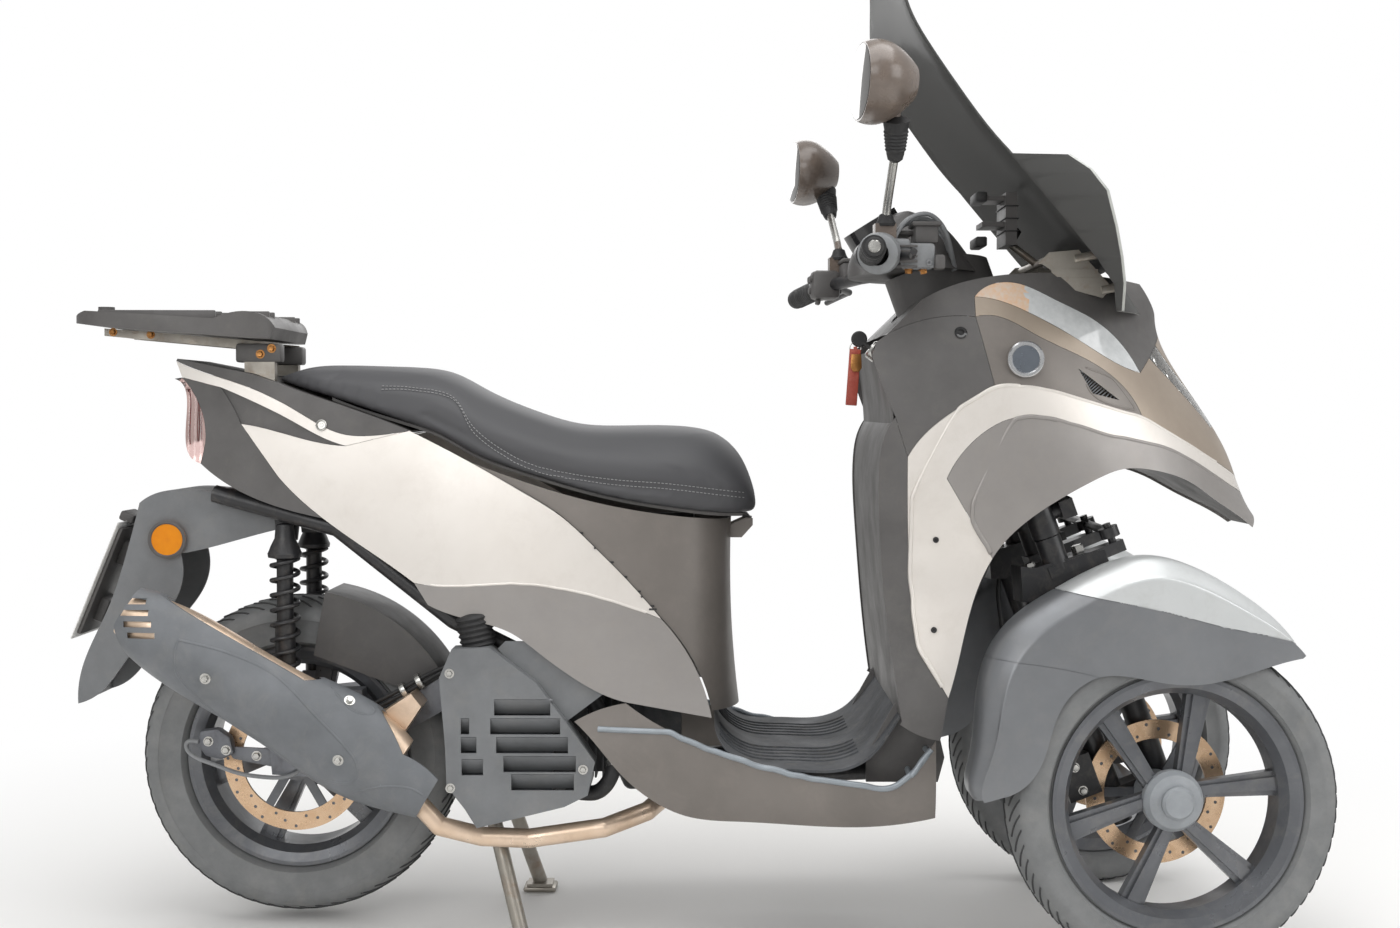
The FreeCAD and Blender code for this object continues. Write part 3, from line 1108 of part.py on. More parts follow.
# Exhaust: pipe from the cylinder head, silencer, and its guard with the slotted tail
silencer_start, silencer_end = V(-235, -168, 520), V(250, -168, 231)
silencer_way = (silencer_end - silencer_start).normalize()
silencer_levels = [(0, 44, 34), (60, 60, 44), (160, 66, 46), (300, 68, 46), (400, 76, 46), (480, 64, 44),
                   (545, 44, 34)]


def silencer_hull(inset, first, last):
    """Elliptic sections along the silencer between two distances from its tail."""
    rings = []
    for t, high, wide in silencer_levels:
        if first <= t <= last:
            rings.append(Part.Wire([Part.Ellipse(V(t, 0, high - inset), V(t, wide - inset, 0),
                                                 V(t, 0, 0)).toShape()]))
    hull = Part.makeLoft(rings, True)
    hull.rotate(V(0, 0, 0), V(0, 1, 0), degrees(asin(-silencer_way.z)))
    hull.translate(silencer_start)
    return hull


guard_gap = 8.0
silencer = silencer_hull(guard_gap, 0, 480)
pipe_d = 30.0
pipe_points = [V(160, -168, 284), V(246, -162, 188), V(310, -154, 170), V(383, -150, 166),
               V(500, -146, 182),
               V(566, -104, 198), V(598, -40, 212), V(600, -16, 250)]
exhaust_pipe = pipe(pipe_points, pipe_d)
hanger = side_poly([(137, 350), (200, 392), (216, 372), (180, 318), (150, 318)], -152,
                   arm_y[0] - seat_clearance)
keep("exhaust", fused([silencer, exhaust_pipe.cut(engine), hanger]))
guard_borders = [[(-232, 558), (-195, 558)], [(-195, 558), (-65, 482), (44, 419)], [(44, 419), (109, 417)],
                 [(109, 417), (148, 382), (196, 308)], [(196, 308), (257, 255), (279, 202)],
                 [(279, 202), (257, 187)],
                 [(257, 187), (152, 207), (65, 241)], [(65, 241), (-109, 346), (-174, 394)],
                 [(-174, 394), (-226, 447), (-243, 491), (-243, 539)], [(-243, 539), (-232, 558)]]
guard = silencer_hull(0, 0, 545).cut(silencer_hull(wall, 0, 545))
guard = guard.common(slab_of(region(guard_borders, 0), -230, -156))
guard_bosses = [rod(V(x, -214, z), V(x, -190, z), 16).common(silencer_hull(1, 0, 545))
                for x, z in ((-103, 430), (99, 302), (112, 384))]
tail_slots = [box(-240 + i * 6, -196 + i * 6, -230, -190, 536 - i * 17, 545 - i * 17) for i in range(4)]
guard = fused([guard] + guard_bosses).cut(silencer_hull(guard_gap - seat_clearance, 0, 545))
guard = guard.cut(pipe(pipe_points, pipe_d + 2 * seat_clearance))
keep("muffler_guard", Part.makeCompound([s for s in cut_all(guard, tail_slots).Solids if s.Volume > 2000]))

# Rear hugger ahead of the tyre
hugger_r = rear_r + run_clearance + 8
hugger = rod(V(0, -70, rear_axle_z), V(0, 70, rear_axle_z), 2 * (hugger_r + wall))
hugger = hugger.cut(rod(V(0, -67, rear_axle_z), V(0, 67, rear_axle_z), 2 * hugger_r))
hugger_wedge = side_poly([(30, 440), (52, 560), (300, 560), (300, 400), (190, 380)], -80, 80)
hugger_ring = hugger.common(hugger_wedge)
hugger_foot = side_poly([(232, 414), (330, 384), (330, 424), (240, 436)], -12, 12)
hugger_foot = hugger_foot.cut(rod(V(0, -80, rear_axle_z), V(0, 80, rear_axle_z), 2 * hugger_r)).cut(
    box(engine_x[0] - seat_clearance, 480, -90, 90, 200, 410 + seat_clearance))
keep("rear_hugger", fused([hugger_ring, hugger_foot]))

# Centre stand
stand_pivot = V(stand_x, 0, stand_z)
stand_leg = pipe([V(stand_x, stand_top_y, stand_z), V(stand_foot_x, stand_foot_y, 14)], stand_tube_d)
stand_leg = stand_leg.common(box(200, 500, 0, 300, 0, 300))
stand_foot = box(stand_foot_x - 22, stand_foot_x + 22, stand_foot_y - 20, stand_foot_y + 20, 0, 14)
stand_bore = 14.0
stand_tube = rod(V(stand_x, -stand_top_y - 10, stand_z), V(stand_x, stand_top_y + 10, stand_z),
                 stand_pivot_d)
stand = fused([stand_tube, stand_leg, mirrored(stand_leg), stand_foot, mirrored(stand_foot)])
keep("stand", stand.cut(rod(V(stand_x, -200, stand_z), V(stand_x, 200, stand_z), stand_bore)))


def write_all():
    for name, shape in nodes.items():
        placed = shape.copy()
        placed.translate(V(-origin_ahead, 0, 0))
        pieces = placed.Solids
        whole = pieces[0] if len(pieces) == 1 else Part.makeCompound(pieces)
        whole.exportStep("parts/" + name + ".step")
        extent = whole.BoundBox
        print("%-20s %2d solids  %9.0f mm3  x %6.0f %6.0f  y %5.0f %5.0f  z %5.0f %5.0f  %s" % (
            name, len(pieces), whole.Volume, extent.XMin, extent.XMax, extent.YMin, extent.YMax,
            extent.ZMin, extent.ZMax, "ok" if whole.isValid() else "NOT VALID"))


write_all()
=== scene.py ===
from math import cos, pi, radians, sin, sqrt

import bmesh
import bpy
from mathutils import Matrix, Vector
from mathutils.bvhtree import BVHTree


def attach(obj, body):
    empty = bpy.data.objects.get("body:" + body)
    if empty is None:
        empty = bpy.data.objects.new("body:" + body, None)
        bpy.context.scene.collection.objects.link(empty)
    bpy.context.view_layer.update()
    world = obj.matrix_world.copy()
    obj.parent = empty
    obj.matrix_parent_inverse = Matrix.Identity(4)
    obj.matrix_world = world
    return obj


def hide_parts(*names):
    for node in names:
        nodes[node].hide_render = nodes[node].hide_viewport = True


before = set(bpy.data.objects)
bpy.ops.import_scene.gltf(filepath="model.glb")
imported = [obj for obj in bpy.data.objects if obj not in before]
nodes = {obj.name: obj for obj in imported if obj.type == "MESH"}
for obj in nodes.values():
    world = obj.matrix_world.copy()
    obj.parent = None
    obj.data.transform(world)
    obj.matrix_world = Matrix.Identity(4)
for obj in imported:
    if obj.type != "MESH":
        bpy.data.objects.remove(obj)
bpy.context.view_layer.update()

scene = bpy.context.scene
scene.view_settings.view_transform = "Standard"
axleShift = 625  # millimetres from the rear axle forward to the row frame's origin
leftRight = ((1, "left"), (-1, "right"))
moved = Matrix.Translation  # the matrix of a move


def at(x, y, z):  # millimetres from under the rear axle, as the CAD is drawn, to metres in the row frame
    return Vector(((x - axleShift) / 1000, y / 1000, z / 1000))


def mm(x, y, z):
    return Vector((x, y, z)) / 1000


def linear(hexColour):  # sRGB hex to linear RGBA
    parts = [int(hexColour[i:i + 2], 16) / 255 for i in (1, 3, 5)]
    return [p / 12.92 if p <= 0.04045 else ((p + 0.055) / 1.055) ** 2.4 for p in parts] + [1.0]


def addNode(tree, kind, inputs=None, **settings):
    node = tree.nodes.new("ShaderNode" + kind)
    for name, value in settings.items():
        setattr(node, name, value)
    for name, value in (inputs or {}).items():
        if isinstance(value, bpy.types.NodeSocket):
            tree.links.new(value, node.inputs[name])
        else:
            node.inputs[name].default_value = value
    return node


def freshTree(block):  # the emptied node tree of a material or a world
    block.use_nodes = True
    block.node_tree.nodes.clear()
    return block.node_tree


print("materials")


# Two colours in a soft mottle, roughness and its spread, then grain, dust and scratches, sized in millimetres
def surface(name, light, dark, mottleMm, rough, roughSpread=0.1, grainMm=0, grainDepthMm=0.1, dust=None,
            dustShare=0.0, dustMm=45, scuff=0.0, metal=0.0, coat=(0.0, 0.03), sockets=None):
    material = bpy.data.materials.new(name)
    tree = freshTree(material)
    place = addNode(tree, "TexCoord").outputs["Object"]
    cloud = addNode(tree, "TexNoise", {"Vector": place, "Scale": 1000 / mottleMm, "Detail": 5.0,
                                       "Roughness": 0.62}).outputs["Fac"]
    spread = addNode(tree, "MapRange", {"Value": cloud, "From Min": 0.2, "From Max": 0.8}).outputs["Result"]
    colour = addNode(tree, "Mix", {0: spread, 6: linear(light), 7: linear(dark)}, data_type="RGBA").outputs[2]
    if dust:
        drift = addNode(tree, "TexNoise", {"Vector": place, "Scale": 1000 / dustMm, "Detail": 9.0,
                                           "Roughness": 0.72, "Distortion": 0.4}).outputs["Fac"]
        share = addNode(tree, "MapRange", {"Value": drift, "From Min": 0.5, "From Max": 0.86,
                                           "To Max": dustShare}).outputs["Result"]
        colour = addNode(tree, "Mix", {0: share, 6: colour, 7: linear(dust)}, data_type="RGBA").outputs[2]
    if scuff:  # pale scratches, drawn out along one way
        drawn = addNode(tree, "Mapping", {"Vector": place, "Rotation": (0.3, 0.9, 0.5), "Scale": (14, 14, 1)})
        lines = addNode(tree, "TexNoise", {"Vector": drawn.outputs["Vector"], "Scale": 22.0, "Detail": 6.0,
                                           "Roughness": 0.8}).outputs["Fac"]
        marks = addNode(tree, "MapRange", {"Value": lines, "From Min": 0.66, "From Max": 0.74,
                                           "To Max": scuff}).outputs["Result"]
        colour = addNode(tree, "Mix", {0: marks, 6: colour, 7: linear("#C9C9C9")}, data_type="RGBA").outputs[2]
    gloss = addNode(tree, "MapRange", {"Value": cloud, "From Min": 0.3, "From Max": 0.7,
                                       "To Min": max(rough - roughSpread, 0.02), "To Max": rough + roughSpread})
    inputs = {"Base Color": colour, "Roughness": gloss.outputs["Result"], "Metallic": metal,
              "Coat Weight": coat[0], "Coat Roughness": coat[1]}
    if grainMm:
        grain = addNode(tree, "TexNoise", {"Vector": place, "Scale": 1000 / grainMm,
                                           "Detail": 3.0}).outputs["Fac"]
        inputs["Normal"] = addNode(tree, "Bump", {"Height": grain, "Strength": 0.8,
                                                  "Distance": grainDepthMm / 1000}).outputs["Normal"]
    inputs.update(sockets or {})
    shader = addNode(tree, "BsdfPrincipled", inputs)
    addNode(tree, "OutputMaterial", {"Surface": shader.outputs["BSDF"]})
    return material


# A clear or tinted sheet with a faint film on it, and ribs
def lens(name, tint, rough, ior, ribMm=0, ribDepthMm=0.2, sockets=None):
    material = bpy.data.materials.new(name)
    tree = freshTree(material)
    place = addNode(tree, "TexCoord").outputs["Object"]
    film = addNode(tree, "TexNoise", {"Vector": place, "Scale": 14.0, "Detail": 7.0, "Roughness": 0.7})
    gloss = addNode(tree, "MapRange", {"Value": film.outputs["Fac"], "From Min": 0.35, "From Max": 0.75,
                                       "To Min": rough, "To Max": rough + 0.1})
    inputs = {"Base Color": linear(tint), "Roughness": gloss.outputs["Result"], "IOR": ior,
              "Transmission Weight": 1.0}
    if ribMm:  # a wave texture's scale counts in radians
        ribs = addNode(tree, "TexWave", {"Vector": place, "Scale": 1000 / ribMm / 6.28, "Detail": 0.0},
                       bands_direction="X").outputs["Fac"]
        inputs["Normal"] = addNode(tree, "Bump", {"Height": ribs, "Strength": 0.7,
                                                  "Distance": ribDepthMm / 1000}).outputs["Normal"]
    inputs.update(sockets or {})
    shader = addNode(tree, "BsdfPrincipled", inputs)
    addNode(tree, "OutputMaterial", {"Surface": shader.outputs["BSDF"]})
    return material


# Satin silver-beige paint over moulded ABS: soft lights, warm in the shade, faint dust
silverPaint = surface("silverPaint", "#E0DBD5", "#D2CCC5", 160, 0.36, 0.05, 0.9, 0.015, "#A89E92", 0.25, 70,
                      metal=0.35, coat=(0.25, 0.3))
# Satin warm grey metallic paint over moulded ABS: a broad, dull light
greyPaint = surface("greyPaint", "#9C9895", "#8A8683", 150, 0.4, 0.06, 0.9, 0.02, "#A39A90", 0.25, 60,
                    metal=0.45, coat=(0.15, 0.4))
# The same paint a tone darker, on the emblem panels, the sills and the base panel; on the base panel the darker
# tone is partly painted shade, for the shade on its lower part
panelGrey = surface("panelGrey", "#7D7772", "#6B6661", 150, 0.4, 0.06, 0.9, 0.02, "#A39A90", 0.2, 60,
                    metal=0.3, coat=(0.2, 0.35))
# Satin bronze-grey metallic paint on the nose cowl
bronzePaint = surface("bronzePaint", "#A79A8B", "#94877A", 150, 0.36, 0.05, 0.9, 0.015, "#BBB0A2", 0.2, 60,
                      metal=0.45, coat=(0.25, 0.3))
# Light silver paint on the fender caps
capPaint = surface("capPaint", "#D3D5D5", "#C5C8C8", 140, 0.36, 0.05, 0.9, 0.015, "#8F8A83", 0.3, 50,
                   metal=0.4, coat=(0.2, 0.35))
# Cooler, darker metallic paint on the fender bodies
fenderPaint = surface("fenderPaint", "#838588", "#6D6F72", 170, 0.38, 0.05, 0.9, 0.015, "#9B968F", 0.25, 60,
                      metal=0.45, coat=(0.2, 0.35))
# Lacquered brown-grey mirror backs, which show the room's lights
mirrorShell = surface("mirrorShell", "#776A60", "#5B524C", 55, 0.3, 0.08, 1.0, 0.03, coat=(0.3, 0.2))
# Mid-grey moulded nylon on the handlebar, dusty in its corners
paleHousing = surface("paleHousing", "#8E9092", "#77797B", 40, 0.45, 0.1, 1.0, 0.05, "#5F5B55", 0.4, 20)
# Fine-grained moulded polypropylene, black when new, greyed by the sun
blackPlastic = surface("blackPlastic", "#5C5A59", "#4B4948", 90, 0.5, 0.1, 1.1, 0.08, "#6B6862", 0.45, 40, 0.12)
# The same plastic lower down, chalky and scratched
wornPlastic = surface("wornPlastic", "#73767A", "#5D6063", 80, 0.52, 0.1, 1.2, 0.07, "#8D8B86", 0.45, 55, 0.3)
# And over the rear wheel and on the radiator shroud, lighter: partly road dust, which dulls it, and partly
# painted highlight for the highlights along them
mudguardPlastic = surface("mudguardPlastic", "#7A7C7E", "#606264", 90, 0.46, 0.1, 1.2, 0.06, "#8B8780", 0.4, 60,
                          0.2)
# Gloss black moulded ABS: a sharp light, and every speck of dust
glossBlack = surface("glossBlack", "#1B1B1D", "#131314", 120, 0.14, 0.05, 0, 0.1, "#7A7670", 0.2, 60,
                     coat=(0.5, 0.05))
# Grey moulded trim along the sills, rubbed smooth by shoes
stripGrey = surface("stripGrey", "#9BA2A8", "#878E94", 50, 0.38, 0.08, 0, 0.1, "#6D6A66", 0.3, 30, metal=0.3)
# Moulded rubber: the floor's mat with trodden dust, the tyres bloomed grey, their grooves darker as painted
# shade, and soft black grips
floorRubber = surface("floorRubber", "#4A4C50", "#37393C", 60, 0.7, 0.12, 0.8, 0.1, "#85817A", 0.5, 30)
tyreRubber = surface("tyreRubber", "#7F8080", "#686A6B", 45, 0.72, 0.1, 1.5, 0.18, "#97948D", 0.4, 60)
grooveRubber = surface("grooveRubber", "#4A4B4C", "#3B3C3D", 45, 0.8, 0.08, 1.5, 0.15, "#6B6862", 0.4, 20)
softRubber = surface("softRubber", "#2B2B2C", "#202021", 40, 0.6, 0.1, 1.2, 0.08, "#5E5C58", 0.4, 24)
# Black powder coat on the steel tube frame and levers
framePaint = surface("framePaint", "#2D2D2F", "#1F1F21", 60, 0.38, 0.1, 1.4, 0.05, "#6F6860", 0.5, 25)
# Sand-cast aluminium, left raw and dulled by dirt
castAluminium = surface("castAluminium", "#85878A", "#72747A", 90, 0.55, 0.12, 1.3, 0.22, "#4A453F", 0.6, 28,
                        metal=0.75)
# Engine paint, dark grey and dusty
engineGrey = surface("engineGrey", "#4E5052", "#38393B", 40, 0.6, 0.12, 1.6, 0.22, "#7B756C", 0.55, 30, metal=0.3)
# Dark grey lacquer on cast wheels with road dust in the corners, and the paler cast hubs
wheelPaint = surface("wheelPaint", "#6A6C70", "#54565A", 70, 0.34, 0.1, 0, 0.1, "#9A958D", 0.4, 50,
                     metal=0.45, coat=(0.3, 0.2))
hubGrey = surface("hubGrey", "#9B9FA3", "#82868A", 40, 0.45, 0.1, 1.0, 0.05, "#6F6B66", 0.3, 25)
# Heat-tinted stainless exhaust tube
stainless = surface("stainless", "#EDD8C4", "#D8BCA0", 60, 0.34, 0.12, 0, 0.1, "#8A6A4E", 0.4, 40, metal=0.65)
# Ground stainless brake disc: a warm cast and a clear light
discSteel = surface("discSteel", "#DCC0A2", "#C9A582", 30, 0.26, 0.07, 0, 0.1, "#7B6B5C", 0.15, 60, metal=0.75)
# Zinc-plated steel, gone dull with brown stains, and polished steel that keeps its shine
wornSteel = surface("wornSteel", "#A8A39A", "#8F8A82", 40, 0.42, 0.12, 1.0, 0.05, "#7A5638", 0.75, 34, metal=0.7)
brightSteel = surface("brightSteel", "#C9C8C4", "#AEADA9", 20, 0.25, 0.08, 0, 0.1, "#6E675D", 0.4, 14, metal=0.9)
# Turned brass, dulled by handling
brassFitting = surface("brassFitting", "#B4814C", "#946537", 12, 0.35, 0.08, metal=0.85)
# Vacuum-plated plastic: the emblems' rings, their matter faces, the lamps' bowls and the mirrors' glass
emblemRing = surface("emblemRing", "#C9CACB", "#B4B5B7", 20, 0.2, 0.05, metal=0.8)
emblemFace = surface("emblemFace", "#6C727A", "#5F656D", 20, 0.25, 0.05, 0.8, 0.02, metal=0.4)
reflectorChrome = surface("reflectorChrome", "#E4E4E2", "#D0D0CE", 30, 0.12, 0.04, metal=0.85)
mirrorGlass = surface("mirrorGlass", "#8A8886", "#82807E", 60, 0.06, 0.02, metal=0.9)
# Enamelled white sheet of the plate and the lamps' strips, and dyed red leather of the key's strap
plateWhite = surface("plateWhite", "#E9E9E6", "#DDDDDA", 80, 0.4, 0.08, 0, 0.1, "#B0A898", 0.3, 40)
redLeather = surface("redLeather", "#B0503F", "#943C30", 12, 0.55, 0.1, 1.0, 0.15, "#C98A78", 0.4, 14)
# Moulded acrylic reflector, deep orange with a clear gloss
orangeLens = surface("orangeLens", "#F49B10", "#E8860A", 20, 0.12, 0.04, 0, 0.1, "#C47A20", 0.2, 20,
                     sockets={"Transmission Weight": 0.15, "IOR": 1.49})
# Clear and red acrylic lamp covers, the red one ribbed, and the red strips behind it
lampGlass = lens("lampGlass", "#F4F4F2", 0.03, 1.49)
redLens = lens("redLens", "#E9C9C4", 0.06, 1.49, 5, 0.3)
redStrip = surface("redStrip", "#B03A34", "#9A2E2A", 10, 0.2, 0.05)
# Smoked polycarbonate screen, and its cut edge, coloured pale as a painted highlight
screenSheet = lens("screenSheet", "#5C5C5B", 0.12, 1.25,
                   sockets={"Transmission Weight": 0.2, "Specular IOR Level": 0.0})
screenEdgeHighlight = surface("screenEdgeHighlight", "#C4C6C2", "#B2B4B0", 20, 0.2, 0.05)
# Covers of clear polycarbonate over the white ribs of the daylight lamps, and their amber end
stripLens = surface("stripLens", "#CFD1D1", "#B4B7B8", 14, 0.1, 0.04, coat=(0.6, 0.04))
amberLens = surface("amberLens", "#D9AC84", "#CDC6BC", 9, 0.1, 0.04, coat=(0.6, 0.04))
# Grained synthetic leather, black, coloured pale grey as painted sheen for its strong highlights, and its grey
# thread
seatLeather = surface("seatLeather", "#9A9B9D", "#838486", 60, 0.46, 0.08, 1.8, 0.16, "#8A8988", 0.35, 60,
                      sockets={"Sheen Weight": 0.15, "Sheen Roughness": 0.4})
threadGrey = surface("threadGrey", "#9A9A9A", "#858585", 10, 0.6, 0.08)

finishes = {
    silverPaint: ["front_covers", "side_covers"],
    greyPaint: ["arch_covers", "lower_covers"],
    panelGrey: ["emblem_panels", "floor_sills", "base_panel"],
    mirrorShell: ["mirrors"],
    fenderPaint: ["fender_left", "fender_right"],
    bronzePaint: ["nose_cowl"],
    blackPlastic: ["dash_sides", "top_cowl", "nose_liner", "leg_shield", "tail_sides", "tail_cover",
                   "storage_tub", "saddle_pan", "phone_holder", "handlebar_cover",
                   "rear_hugger", "carrier_plate"],
    wornPlastic: ["muffler_guard"],
    mudguardPlastic: ["rear_mudguard", "radiator_shroud"],
    floorRubber: ["floorboard"],
    glossBlack: ["meter"],
    framePaint: ["frame", "lean_arms", "steering_stem", "track_rod", "rear_shocks", "levers", "handlebar",
                 "fork_legs_left", "fork_legs_right", "fork_holder_left", "fork_holder_right"],
    castAluminium: ["drive_case", "right_arm", "radiator"],
    engineGrey: ["engine"],
    wheelPaint: ["rim_left", "rim_right", "rim_rear"],
    stainless: ["exhaust"],
    wornSteel: ["carrier_bracket", "screen_brackets", "stand"],
    orangeLens: ["reflectors"],
    lampGlass: ["headlamps"],
    stripLens: ["lamp_strips"],
    redLens: ["tail_lamp"],
    screenSheet: ["windscreen"],
    softRubber: ["grips"],
}
for material, names in finishes.items():
    for name in names:
        mesh = nodes[name].data
        mesh.materials.clear()
        mesh.materials.append(material)


print("helpers")
# The photograph's camera: lens and frame in pixels, its place as the CAD is drawn, its turns in radians
photoView = {"focalPx": 1671.94, "framePx": (1400, 928), "place": (658.1, -2735.57, 833.66),
             "yaw": -0.0036, "pitch": -0.0322, "roll": 0.0019}
rakeDeg, parkedDeg = 20, 5.6  # the steering axes lean back, and the bars stand turned a little to the left
steerAxis = Vector((-sin(radians(rakeDeg)), 0, cos(radians(rakeDeg))))
parkedTurn = Matrix.Rotation(radians(parkedDeg), 4, steerAxis)
fromAxle = moved(at(0, 0, 0))  # puts in place what is drawn from under the rear axle
upright = fromAxle @ Matrix.Rotation(radians(90), 4, "X")  # the same for a plate drawn in side view
rearWheel = moved(at(0, 0, 273))
trees = {}


def kingpinFoot(side):  # where a steering axis meets the floor, with side 0 for the stem
    return at(1418, side * 158, 0)


def wheelCentre(side):
    return at(1350, side * 235, 250)


def kingpinPlace(side):  # matrix of what is drawn straight ahead and stands turned, as parked
    base, centre = kingpinFoot(side), wheelCentre(side)
    lift = centre.z - (base + parkedTurn @ (centre - base)).z if side else 0.0
    return moved((0, 0, lift)) @ moved(base) @ parkedTurn @ moved(-base)


def wheelPlace(side):  # wheel-centred drawing, y outward to the left, to the parked wheel
    return kingpinPlace(side) @ moved(wheelCentre(side))


def leanPlace(side):  # millimetres ahead of a steering axis, to the left, and along it from the floor
    return kingpinPlace(side) @ moved(kingpinFoot(side)) @ Matrix.Rotation(radians(-rakeDeg), 4, "Y")


def treeOf(mesh):
    return BVHTree.FromPolygons([v.co for v in mesh.vertices], [p.vertices for p in mesh.polygons])


def castOn(name, start, way):  # where a line first meets a node, and the normal that faces the line's start
    if name not in trees:
        trees[name] = treeOf(nodes[name].data)
    hit, normal = trees[name].ray_cast(start, Vector(way))[:2]
    if hit and normal.dot(Vector(way)) > 0:
        normal = -normal
    return hit, normal


def onNode(name, x, z, side=-1):  # on a node's right side, or its left, at a place in side view
    return castOn(name, at(x, side * 900, z), (0, -side, 0))


def seen(name, u, v):  # where the line of sight through a pixel of the photograph meets a node
    wide, high = photoView["framePx"]
    way = Vector((photoView["yaw"] + (u - wide / 2) / photoView["focalPx"], 1,
                  photoView["pitch"] + (high / 2 - v) / photoView["focalPx"]))
    return castOn(name, at(*photoView["place"]), way.normalized())


def borderOf(name, starts, step):  # where lines of sight that walk across the picture first reach a node
    border = []
    for u, v in starts:
        for n in range(160):  # steps at most
            hit, normal = seen(name, u + step[0] * n, v + step[1] * n)
            if hit:
                border.append((hit, normal))
                break
    return border


def beadAlong(bm, border, radiusMm, sinkMm, both=True):  # a rounded line along points of a surface
    line = [hit - normal * sinkMm / 1000 for hit, normal in border]
    for side in (-1, 1) if both else (-1,):
        if len(line) > 3:
            joinInto(bm, tubePart([Vector((p.x, -side * p.y, p.z)) for p in line], radiusMm))
    return bm


def beadOn(bm, name, pixels, radiusMm, sinkMm, both=True):
    places = [seen(name, u, v) for u, v in smoothLine(pixels, 6.0)]
    return beadAlong(bm, [p for p in places if p[0]], radiusMm, sinkMm, both)


def newPiece(name, bm, material, body="root", sharpDeg=35, place=None):
    if place:
        bmesh.ops.transform(bm, matrix=place, verts=bm.verts)
    bmesh.ops.remove_doubles(bm, verts=bm.verts, dist=1e-6)
    bmesh.ops.recalc_face_normals(bm, faces=bm.faces)
    for face in bm.faces:
        face.smooth = True
    mesh = bpy.data.meshes.new(name)
    bm.to_mesh(mesh)
    bm.free()
    mesh.set_sharp_from_angle(angle=radians(sharpDeg))
    for each in material if isinstance(material, list) else [material]:
        mesh.materials.append(each)
    piece = bpy.data.objects.new(name, mesh)
    scene.collection.objects.link(piece)
    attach(piece, body)
    return piece


def joinInto(bm, part, place=None):
    if place:
        bmesh.ops.transform(part, matrix=place, verts=part.verts)
    mesh = bpy.data.meshes.new("joined")
    part.to_mesh(mesh)
    part.free()
    bm.from_mesh(mesh)
    bpy.data.meshes.remove(mesh)
    return bm


def turnedPart(profile, steps=40, closed=False):  # (radius, along z) in millimetres, turned about z
    bm = bmesh.new()
    verts = [bm.verts.new((r / 1000, 0, z / 1000)) for r, z in profile]
    pairs = list(zip(verts, verts[1:])) + ([(verts[-1], verts[0])] if closed else [])
    edges = [bm.edges.new(pair) for pair in pairs]
    bmesh.ops.spin(bm, geom=verts + edges, cent=(0, 0, 0), axis=(0, 0, 1), angle=2 * pi, steps=steps,
                   use_merge=True)
    bmesh.ops.remove_doubles(bm, verts=bm.verts, dist=1e-6)
    return bm


def platePart(points, low, high, roundMm=0.0):  # (x, y) outline in millimetres between two heights
    bm = bmesh.new()
    face = bm.faces.new([bm.verts.new((x / 1000, y / 1000, low / 1000)) for x, y in points])
    grown = bmesh.ops.extrude_face_region(bm, geom=[face])
    top = [v for v in grown["geom"] if isinstance(v, bmesh.types.BMVert)]
    bmesh.ops.translate(bm, vec=(0, 0, (high - low) / 1000), verts=top)
    if roundMm:
        bmesh.ops.bevel(bm, geom=list(bm.edges), offset=roundMm / 1000, segments=2, profile=0.5,
                        affect="EDGES", material=-1)
    return bm


def blockPart(x0, x1, y0, y1, z0, z1, roundMm=1.5):
    return platePart([(x0, y0), (x1, y0), (x1, y1), (x0, y1)], z0, z1, roundMm)


def addBlock(bm, *sizes):  # a block drawn from under the rear axle
    return joinInto(bm, blockPart(*sizes), fromAxle)


def tubePart(points, radiusMm, closed=False, sides=3):  # smooth tube along points in the row frame
    curve = bpy.data.curves.new("tube", "CURVE")
    curve.dimensions = "3D"
    spline = curve.splines.new("NURBS")
    spline.points.add(len(points) - 1)
    for point, place in zip(spline.points, points):
        point.co = (*place, 1)
    spline.order_u = 3
    spline.use_endpoint_u = not closed
    spline.use_cyclic_u = closed
    spline.resolution_u = 6
    curve.bevel_depth = radiusMm / 1000
    curve.bevel_resolution = sides
    curve.use_fill_caps = True
    holder = bpy.data.objects.new("tube", curve)
    scene.collection.objects.link(holder)
    bpy.context.view_layer.update()
    mesh = bpy.data.meshes.new_from_object(holder.evaluated_get(bpy.context.evaluated_depsgraph_get()))
    bm = bmesh.new()
    bm.from_mesh(mesh)
    bpy.data.objects.remove(holder)
    bpy.data.curves.remove(curve)
    bpy.data.meshes.remove(mesh)
    return bm


def hosePart(points, radiusMm, sides=3):  # the same, drawn from under the rear axle
    return tubePart([at(*p) for p in points], radiusMm, sides=sides)


def facing(point, direction, roll=0.0):  # matrix that puts z along a direction
    turn = Vector(direction).to_track_quat("Z", "Y").to_matrix().to_4x4()
    return moved(point) @ turn @ Matrix.Rotation(roll, 4, "Z")


def boltPart(headD, height, washerD):  # hexagon head, dished on top, on a washer
    r = headD / 2
    bm = turnedPart([(0, 0), (r, 0), (r, height * 0.8), (r * 0.84, height), (0, height * 0.9)], 6)
    return joinInto(bm, turnedPart([(0, -0.2), (washerD / 2, -0.2), (washerD / 2, 1.2), (0, 1.4)], 24))


def screwPart(headD, height):  # round head with a hexagon socket
    r = headD / 2
    return turnedPart([(0, height * 0.4), (r * 0.44, height * 0.4), (r * 0.5, height), (r * 0.84, height),
                       (r, height * 0.7), (r, -0.5)], 18)


def addTurned(bm, profile, steps, place, closed=False):
    return joinInto(bm, turnedPart(profile, steps, closed), place)


def addBolts(bm, sizes, spots, way):  # bolts of one size, drawn from under the rear axle
    for spot in spots:
        joinInto(bm, boltPart(*sizes), facing(at(*spot), way))
    return bm


